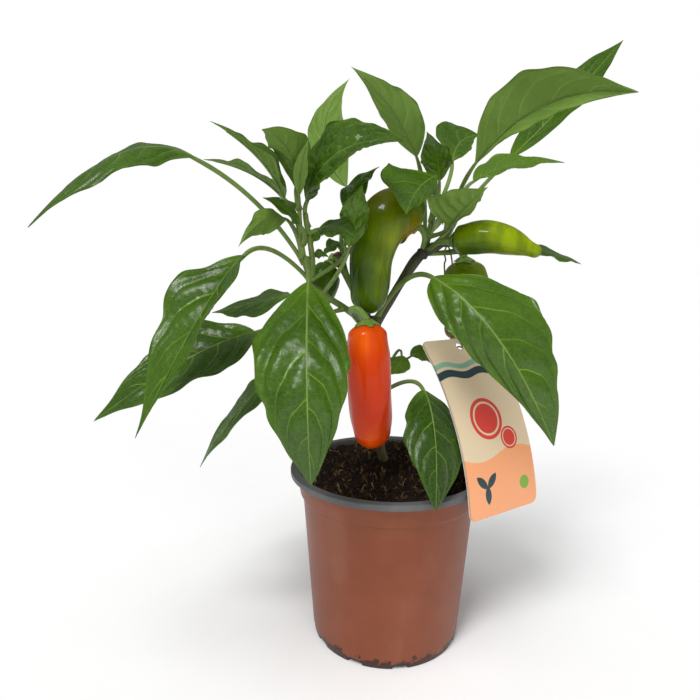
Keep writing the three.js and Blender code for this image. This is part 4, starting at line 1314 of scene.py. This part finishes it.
def pepper_stalk_piece(name, pepper):
    """A bent ribbed stalk that widens into a five-pointed cap, which lies on the pepper's shoulder."""
    s, line, (along, side, other), radii = pepper_profile(pepper)
    up = -along[0]
    high = CALYX["height"]
    shape = Shape("skin")
    knots = [*pepper["stalk"], line[0] + up * high * 0.6]
    add_tube(shape, smooth_line(knots, 34), CALYX["neck"], 20, 0, lambda s, a: 1 + 0.09 * np.cos(5 * a))

    rising = 1 + int(np.argmax(radii > 0.97 * radii[: len(radii) // 3].max()))
    angle = circle(CALYX["sides"])
    arm = arms(angle, side[:1], other[:1])[0]
    pointed = 0.5 + 0.5 * np.cos(CALYX["points"] * angle)
    rim = pepper["calyx"] * CALYX["spread"] * (1 - CALYX["point_depth"] * 2.2 * (1 - pointed ** 1.5))
    shares = np.linspace(0.1, 1.0, CALYX["rings"])
    rows = []
    for share, under in [*((share, 0) for share in shares), *((share, 1) for share in shares[::-2])]:
        reach = share * rim * (1 - 0.03 * under)
        spot = on_line(np.interp(reach, radii[:rising], s[:rising]), s, line)
        thick = high * 0.8 * (1 - share) ** 1.6 + 0.75 - 0.25 * share
        thick = thick + 1.4 * share * (1 - share) * pointed
        lift = PEPPER["gap"] + (0 if under else thick)
        outward = CALYX["flare"] * share * lift
        rows.append(spot + arm * (reach + outward)[:, None] + up * np.reshape(lift, (-1, 1)))
    ends = [rows[0].mean(axis=0) + up * 0.1, rows[-1].mean(axis=0)]
    points = np.concatenate([*rows, ends])
    skin = triples(np.linspace(0, 1, len(rows))[:, None], angle / TURN, 0.0)
    skin = np.concatenate([skin, [[0, 0, 0]], [[1, 0, 0]]])
    shape.add(points, capped_faces(len(rows), len(angle)), 0, skin=skin)
    return shape.piece(f"{name}_cap", [CALYX_GREEN])


# ---- pot and soil ----

def rounded(outline, reach, steps=CORNER_STEPS):
    """An outline whose corners are rounded off, up to reach from each."""
    outline = np.array(outline, float)
    made = [outline[0]]
    for before, corner, after in zip(outline[:-2], outline[1:-1], outline[2:]):
        to_before, to_after = before - corner, after - corner
        cut = min(reach, np.linalg.norm(to_before) * 0.45, np.linalg.norm(to_after) * 0.45)
        first, last = corner + unit(to_before) * cut, corner + unit(to_after) * cut
        for t in np.linspace(0, 1, steps):
            made.append((1 - t) ** 2 * first + 2 * t * (1 - t) * corner + t * t * last)
    made.append(outline[-1])
    return np.array(made)


def turned(shape, outline, sides, slots):
    """A turned body whose outline starts and ends on the axis; slots gives each band's material."""
    angle = circle(sides)
    inner = outline[1:-1]
    grid = triples(inner[:, :1] * np.cos(angle), inner[:, :1] * np.sin(angle), inner[:, 1:])
    points = np.concatenate([grid, [[0, 0, outline[0][1]], [0, 0, outline[-1][1]]]])
    faces = capped_faces(len(inner), sides)
    shape.add(points, faces)
    shape.slots = [slots[min(min(face) // sides, len(inner) - 2)] for face in faces]


def evaluated(piece):
    """The piece with its modifiers worked into a plain mesh; the modifiers are then removed."""
    mesh = bpy.data.meshes.new_from_object(piece.evaluated_get(bpy.context.evaluated_depsgraph_get()))
    mesh.name = piece.name
    piece.modifiers.clear()
    piece.data = mesh
    return piece


def cut_away(piece, cutter):
    """The piece less the cutter, which is then removed."""
    cut = piece.modifiers.new("cut", "BOOLEAN")
    cut.operation = "DIFFERENCE"
    cut.solver = "EXACT"
    cut.object = cutter
    piece = evaluated(piece)
    bpy.data.objects.remove(cutter)
    return piece


def pot_piece():
    """The two-tone pot: terracotta brown outside, grey lip and inside, notched foot ring."""
    p = POT
    wall, high, floor, lean = p["wall"], p["height"], p["foot_height"], p["draft"]
    under = high - p["lip_height"]
    below, above = p["step_height"] - p["step_slope"], p["step_height"] + p["step_slope"]
    brim = p["wall_top"] + p["step"]
    in_by, down_by = p["lip_bevel"]
    outside = [
        (0, 0), (p["pad_radius"], 0), (p["pad_radius"] + lean, floor), (p["foot_inner"] - lean, floor),
        (p["foot_inner"], 0), (p["foot_radius"], 0), (p["wall_bottom"], p["wall_low"]),
        (p["wall_top"], below), (brim, above), (p["collar_radius"], under),
    ]
    inside = [
        (p["lip_radius"], under), (p["lip_radius"], high), (p["collar_radius"] - in_by, high),
        (p["collar_radius"] - wall, high - down_by), (brim - wall, above), (p["wall_top"] - wall, below),
        (p["wall_bottom"] - wall, p["wall_low"]), (p["foot_inner"] + 3 * lean, wall),
        (p["foot_inner"] + lean, wall), (p["foot_inner"] - 0.2 * lean, floor + wall),
        (p["pad_radius"] + 0.2 * lean, floor + wall), (p["pad_radius"] - 0.8 * lean, wall), (0, wall),
    ]
    outline = rounded(outside + inside, p["corner"])
    edge = 1 + CORNER_STEPS * (len(outside) - 1)
    shape = Shape()
    turned(shape, outline, p["sides"], [0 if band < edge else 1 for band in range(len(outline))])
    pot = shape.piece("pot_shell", [POT_OUTSIDE, POT_LIP])

    cutter = Shape()
    for heading in NOTCH_HEADINGS:
        add_notch(cutter, math.radians(heading))
    return cut_away(pot, cutter.piece("notch_cutter", [POT_OUTSIDE]))


def add_notch(shape, heading):
    """A round-topped block that cuts one notch in the foot ring."""
    half, high, low = NOTCH["width"] / 2, NOTCH["height"], NOTCH["low"]
    section = rounded([(-half, low), (-half, high), (half, high), (half, low)], NOTCH["round"] * 3, 6)
    count = len(section)
    points = []
    for away in (-NOTCH["depth"] / 2, NOTCH["depth"] / 2):
        radius = POT["foot_radius"] + away
        for x, z in section:
            turned_x = x * math.cos(heading) + radius * math.sin(heading)
            turned_y = x * math.sin(heading) - radius * math.cos(heading)
            points.append((turned_x, turned_y, z))
    faces = [list(range(count)), list(range(2 * count - 1, count - 1, -1))]
    for i in range(count):
        ahead = (i + 1) % count
        faces.append([i, i + count, ahead + count, ahead])
    shape.add(np.array(points), faces)


def inside_radius(z):
    """Inside radius of the pot at the height z."""
    low = POT["wall_bottom"] + (POT["wall_top"] - POT["wall_bottom"]) * z / POT["step_height"]
    rise = (z - POT["step_height"]) / (POT["height"] - POT["step_height"])
    brim = POT["wall_top"] + POT["step"]
    high = brim + (POT["collar_radius"] - brim) * rise
    return (low if z < POT["step_height"] else high) - POT["wall"]


def soil_height(radius, angle):
    """The soil's crumbly top: a low mound, higher at the back, with lumps in several sizes."""
    x, y = radius * np.cos(angle), radius * np.sin(angle)
    z = SOIL["edge"] + SOIL["mound"] * (1 - (radius / POT["wall_top"]) ** 2) + SOIL["tilt"] * np.sin(angle)
    z = z + SOIL["lump"] * (np.sin(3 * angle + 0.7) * np.sin(radius / 9) + 0.6 * np.cos(5 * angle))
    for (size, height), seed in ((SOIL["coarse"], 3), (SOIL["fine"], 5)):
        z = z + height * (pucker(x + 300, y + 300, size, seed) - 0.5)
    return z + SOIL["grain"] * np.sin(x * 1.9) * np.sin(y * 2.3)


def soil_rings(radii, sides):
    """Points of the soil's top, ring by ring."""
    radii = np.reshape(radii, (-1, 1))
    angle = circle(sides)
    return triples(radii * np.cos(angle), radii * np.sin(angle), soil_height(radii, angle))


def soil_piece():
    """The filled soil as one closed body up to the pot's wall."""
    sides = SOIL["sides"]
    angle = circle(sides)
    edge = inside_radius(SOIL["edge"]) - SOIL["gap"]
    top = soil_rings(np.linspace(SOIL["middle"], edge, SOIL["rings"]), sides)
    step, ease = POT["step_height"], 3 * POT["step_slope"]
    levels = [(z, SOIL["low_gap"]) for z in (step + ease, step - ease, POT["wall_low"])]
    levels.append((SOIL["low"], SOIL["floor_gap"]))
    rings = []
    for z, gap in levels:
        radius = inside_radius(z) - gap
        rings.append(triples(radius * np.cos(angle), radius * np.sin(angle), z))
    ends = [[0, 0, top[:sides, 2].mean()], [0, 0, SOIL["low"]]]
    faces = capped_faces(SOIL["rings"] + len(levels), sides)
    shape = Shape()
    shape.add(np.concatenate([top, *rings, ends]), [face[::-1] for face in faces])
    return shape.piece("soil_peat", [PEAT])


def scatter_tree(name, form, strewn):
    """Geometry nodes that strew rough copies of a small form over the faces they are given."""
    count, seed, smallest, largest, rough = strewn

    def build(g, given):
        spread_over = {"Mesh": given["Ground"], "Density": given["Density"], "Seed": given["Seed"]}
        spots = g.add("GeometryNodeDistributePointsOnFaces", spread_over)
        turns = {0: (0, 0, 0), 1: (TURN, TURN, TURN), "Seed": given["Seed"]}
        turn = g.add("FunctionNodeRandomValue", turns, data_type="FLOAT_VECTOR")
        scales = {2: given["Smallest"], 3: given["Largest"], "Seed": given["Seed"]}
        scale = g.add("FunctionNodeRandomValue", scales, out=1, data_type="FLOAT")
        copies = g.add("GeometryNodeInstanceOnPoints", {
            "Points": spots, "Instance": form(g), "Rotation": turn, "Scale": scale,
        })
        real = g.add("GeometryNodeRealizeInstances", {"Geometry": copies})
        place = g.add("GeometryNodeInputPosition")
        wobble = g.add("ShaderNodeTexNoise", {"Vector": place, "Scale": 900.0, "Detail": 1.0}, out=1)
        centred = g.add("ShaderNodeVectorMath", {0: wobble, 1: (0.5, 0.5, 0.5)}, operation="SUBTRACT")
        shift = g.add("ShaderNodeVectorMath", {0: centred, "Scale": given["Roughness"]}, operation="SCALE")
        moved = g.add("GeometryNodeSetPosition", {"Geometry": real, "Offset": shift})
        finished = {"Geometry": moved, "Material": given["Finish"]}
        return {"Geometry": g.add("GeometryNodeSetMaterial", finished)}

    inputs = {
        "Ground": ("NodeSocketGeometry", None), "Density": (FLOAT, count), "Seed": ("NodeSocketInt", seed),
        "Smallest": (FLOAT, smallest), "Largest": (FLOAT, largest), "Roughness": (FLOAT, rough),
        "Finish": ("NodeSocketMaterial", None),
    }
    return group_tree(name, inputs, {"Geometry": "NodeSocketGeometry"}, build, "GeometryNodeTree")


def crumb_form(g):
    return g.add("GeometryNodeMeshIcoSphere", {"Radius": MM, "Subdivisions": 1})


def chip_form(g):
    return g.add("GeometryNodeTransform", {"Geometry": crumb_form(g), "Scale": (1.6, 0.7, 0.35)})


def fibre_form(g):
    ends = {"Start": (-4 * MM, 0, 0), "Middle": (0, 2.4 * MM, 1.2 * MM), "End": (4 * MM, 0.6 * MM, 0)}
    arc = g.add("GeometryNodeCurveQuadraticBezier", {**ends, "Resolution": 7})
    section = g.add("GeometryNodeCurvePrimitiveCircle", {"Radius": 0.3 * MM, "Resolution": 4})
    return g.add("GeometryNodeCurveToMesh", {"Curve": arc, "Profile Curve": section, "Fill Caps": True})


def strewn_piece(name, ground, form, finish):
    """Crumbs, chips or fibres strewn over the ground's faces, as a plain mesh."""
    tree = scatter_tree(f"strewn_{name}", form, STREWN[name])
    piece = placed(f"soil_{name}", ground.copy())
    strew = piece.modifiers.new("strew", "NODES")
    strew.node_group = tree
    sockets = {item.name: item.identifier for item in tree.interface.items_tree if item.in_out == "INPUT"}
    strew[sockets["Finish"]] = finish
    return evaluated(piece)


def soil_ground():
    """The soil's top sheet on which crumbs are strewn, a little inside the pot's wall."""
    sides, rings = SOIL["strewn_grid"]
    near, gap = SOIL["strewn"]
    points = soil_rings(np.linspace(near, inside_radius(SOIL["edge"]) - gap, rings), sides)
    faces = grid_faces(rings, sides, closed=True)[:, ::-1]
    mesh = bpy.data.meshes.new("soil_ground")
    mesh.from_pydata((points * MM).tolist(), [], faces.tolist())
    return mesh


# ---- hang tag ----

def card_point(u, v, depth):
    """A point of the card: u across, v up from its lower edge, depth off its middle surface."""
    turn = math.radians(TAG["turn"])
    across = np.array([math.cos(turn), math.sin(turn), 0])
    inward = np.array([-math.sin(turn), math.cos(turn), 0])
    low = math.radians(TAG["lean_low"])
    bend = (math.radians(TAG["lean_high"]) - low) / TAG["length"]
    lean = low + bend * v
    spot = np.array(TAG["foot"], float) + across * u + inward * (math.cos(low) - math.cos(lean)) / bend
    spot[2] += (math.sin(lean) - math.sin(low)) / bend
    outward = inward * -math.cos(lean)
    outward[2] = math.sin(lean)
    return spot + outward * depth


def tag_piece():
    """The bent card with a hole near its upper edge, printed in front and plain behind."""
    half, length, corner, thick = TAG["width"] / 2, TAG["length"], TAG["corner"], TAG["thickness"] / 2
    columns = TAG["columns"]
    ease = corner * (0.5 - 0.5 * np.cos(np.linspace(0, math.pi, TAG["end_rows"])))
    straight = np.linspace(corner, length - corner, TAG["rows"])
    heights = np.concatenate([ease[:-1], straight, length - ease[-2::-1]])
    flat = []
    for v in heights:
        drop = max(0.0, corner - min(v, length - v))
        reach = half - corner + math.sqrt(max(corner ** 2 - drop ** 2, 0.0))
        flat += [(u, v, 0.0) for u in np.linspace(-reach, reach, columns)]
    card = np.array(flat)
    quads = grid_faces(len(heights), columns)
    shape = Shape("card")
    for slot, depth, faces in ((0, thick, quads), (1, -thick, quads[:, ::-1])):
        side = np.array([card_point(u, v, depth) for u, v, _ in flat])
        shape.add(side, faces.tolist(), slot, card=card)
    rim = rim_faces(len(heights), columns)[:, ::-1]
    shape.join(rim, 1, card=np.concatenate([card, card])[rim.ravel()])
    tag = shape.piece("hang_tag_card", [TAG_PRINT, TAG_BACK])

    punch = Shape("card")
    level = length - TAG["hole_drop"]
    line = np.array([card_point(0, level, depth) for depth in np.linspace(-4, 4, 5)])
    add_tube(punch, line, (TAG["hole"],) * 2, 48, 1, field="card")
    return cut_away(tag, punch.piece("hole_punch", [TAG_PRINT, TAG_BACK]))


def tie_piece():
    """A closed wire loop through the hole, over the card's edge and round the pepper's stalk."""
    level, reach, hook = TAG["length"] - TAG["hole_drop"], TIE["reach"], TIE["hook"]
    through_hole = [
        card_point(0, level, reach), card_point(0, level, 0), card_point(0, level + hook, -reach),
        card_point(0, level + TIE["rise"], -hook),
    ]
    knots = np.concatenate([through_hole, TIE["line"]])
    count, sides = TIE["points"], TIE["sides"]
    line = smooth_line(knots, count + 1, looped=True)[:-1]
    along = unit(np.roll(line, -1, axis=0) - np.roll(line, 1, axis=0))
    _, side, _ = frames(line)
    side = unit(side - along * np.sum(side * along, axis=1)[:, None])
    last, first = side[-1], side[0]
    twist = math.atan2(np.dot(np.cross(last, first), along[0]), np.dot(last, first))
    closing = np.linspace(0, 1, count)[:, None]
    angle = circle(sides)[None, :] + closing * twist
    grid = line[:, None] + TIE["radius"] * arms(angle, side, np.cross(along, side))
    i, j = np.meshgrid(np.arange(count), np.arange(sides), indexing="ij")
    after, ahead = (i + 1) % count, (j + 1) % sides
    quads = np.stack([i * sides + j, i * sides + ahead, after * sides + ahead, after * sides + j], axis=-1)
    skin = triples(closing, np.arange(sides)[None, :] / sides, 0.0)
    shape = Shape("skin")
    shape.add(grid.reshape(-1, 3), quads.reshape(-1, 4).tolist(), 0, skin=skin)
    return shape.piece("tag_tie_wire", [TIE_WIRE])


# ---- camera, lights and floor ----

def set_camera():
    """The photograph's camera."""
    lens = bpy.data.cameras.new("view")
    lens.lens = CAMERA["lens"]
    lens.sensor_width = CAMERA["sensor"]
    lens.clip_start = CAMERA["near"] * MM
    camera = placed("view", lens)
    pitch = Matrix.Rotation(math.radians(90 - CAMERA["pitch"]), 4, "X")
    roll = Matrix.Rotation(math.radians(CAMERA["roll"]), 4, "Z")
    camera.matrix_world = Matrix.Translation(Vector(CAMERA["place"]) * MM) @ pitch @ roll
    bpy.context.scene.camera = camera


def add_light(name, place, softness, power, glints):
    """A far, soft studio light that shines from place towards the plant."""
    lamp = bpy.data.lights.new(name, "SUN")
    lamp.angle = math.radians(softness)
    lamp.energy = power
    light = placed(name, lamp)
    light.location = place
    light.rotation_euler = (-Vector(place)).to_track_quat("-Z", "Y").to_euler()
    light.visible_glossy = glints


def set_studio():
    """A pale floor and a soft, even studio light."""
    def build(g):
        low, high = STUDIO["floor"]
        return principled(g, mottled(g, (low,) * 3, (high,) * 3), 0.9, specular_ior_level=0.0)

    mesh = bpy.data.meshes.new("floor")
    reach = STUDIO["floor_reach"]
    corners = [(x * reach, y * reach, 0) for x, y in ((-1, -1), (1, -1), (1, 1), (-1, 1))]
    mesh.from_pydata(corners, [], [(0, 1, 2, 3)])
    mesh.materials.append(material("floor", build))
    floor = placed("floor", mesh)

    world = bpy.data.worlds.new("studio")
    world.use_nodes = True
    world.node_tree.nodes.clear()
    sky = Graph(world.node_tree)
    seen = sky.add("ShaderNodeLightPath")
    glow, plain = (
        sky.add("ShaderNodeBackground", {"Color": (1.0, 1.0, 1.0), "Strength": STUDIO[light]})
        for light in ("glow", "backdrop")
    )
    both = sky.add("ShaderNodeMixShader", {0: seen, 1: glow, 2: plain})
    out = sky.tree.nodes.new("ShaderNodeOutputWorld")
    sky.tree.links.new(both, out.inputs["Surface"])
    bpy.context.scene.world = world
    bpy.context.scene.view_settings.view_transform = "Standard"
    for name, (place, softness, power, glints) in STUDIO["lights"].items():
        add_light(name, place, softness, power, glints)


# ---- assembly ----

set_camera()
set_studio()

for number, (leaf_name, leaf) in enumerate(LEAVES.items()):
    finish_piece(leaf_piece(leaf_name, leaf, number), "leaf", leaf_name)
for number, (leaf_name, leaf) in enumerate(YOUNG_LEAVES.items()):
    finish_piece(leaf_piece(leaf_name, {**YOUNG, **leaf}, 50 + number), "leaf")
finish_piece(stem_piece(), "stem", "stem")
for number, (pepper_name, pepper) in enumerate(PEPPERS.items()):
    skin_slot = "ripe_fruit" if pepper_name == "ripe_pepper" else "green_fruit"
    finish_piece(pepper_piece(pepper_name, pepper, number), skin_slot, pepper_name)
    finish_piece(pepper_stalk_piece(pepper_name, pepper), "fruit_stalk", f"{pepper_name}_stalk")

finish_piece(pot_piece(), "pot_plastic", "pot")
finish_piece(soil_piece(), "soil", "soil")
GROUND = soil_ground()
finish_piece(strewn_piece("crumbs", GROUND, crumb_form, PEAT), "soil")
finish_piece(strewn_piece("chips", GROUND, chip_form, BARK), "soil")
finish_piece(strewn_piece("fibres", GROUND, fibre_form, FIBRE), "soil")
finish_piece(tag_piece(), "tag_card", "hang_tag")
finish_piece(tie_piece(), "tie_wire", "tag_tie")
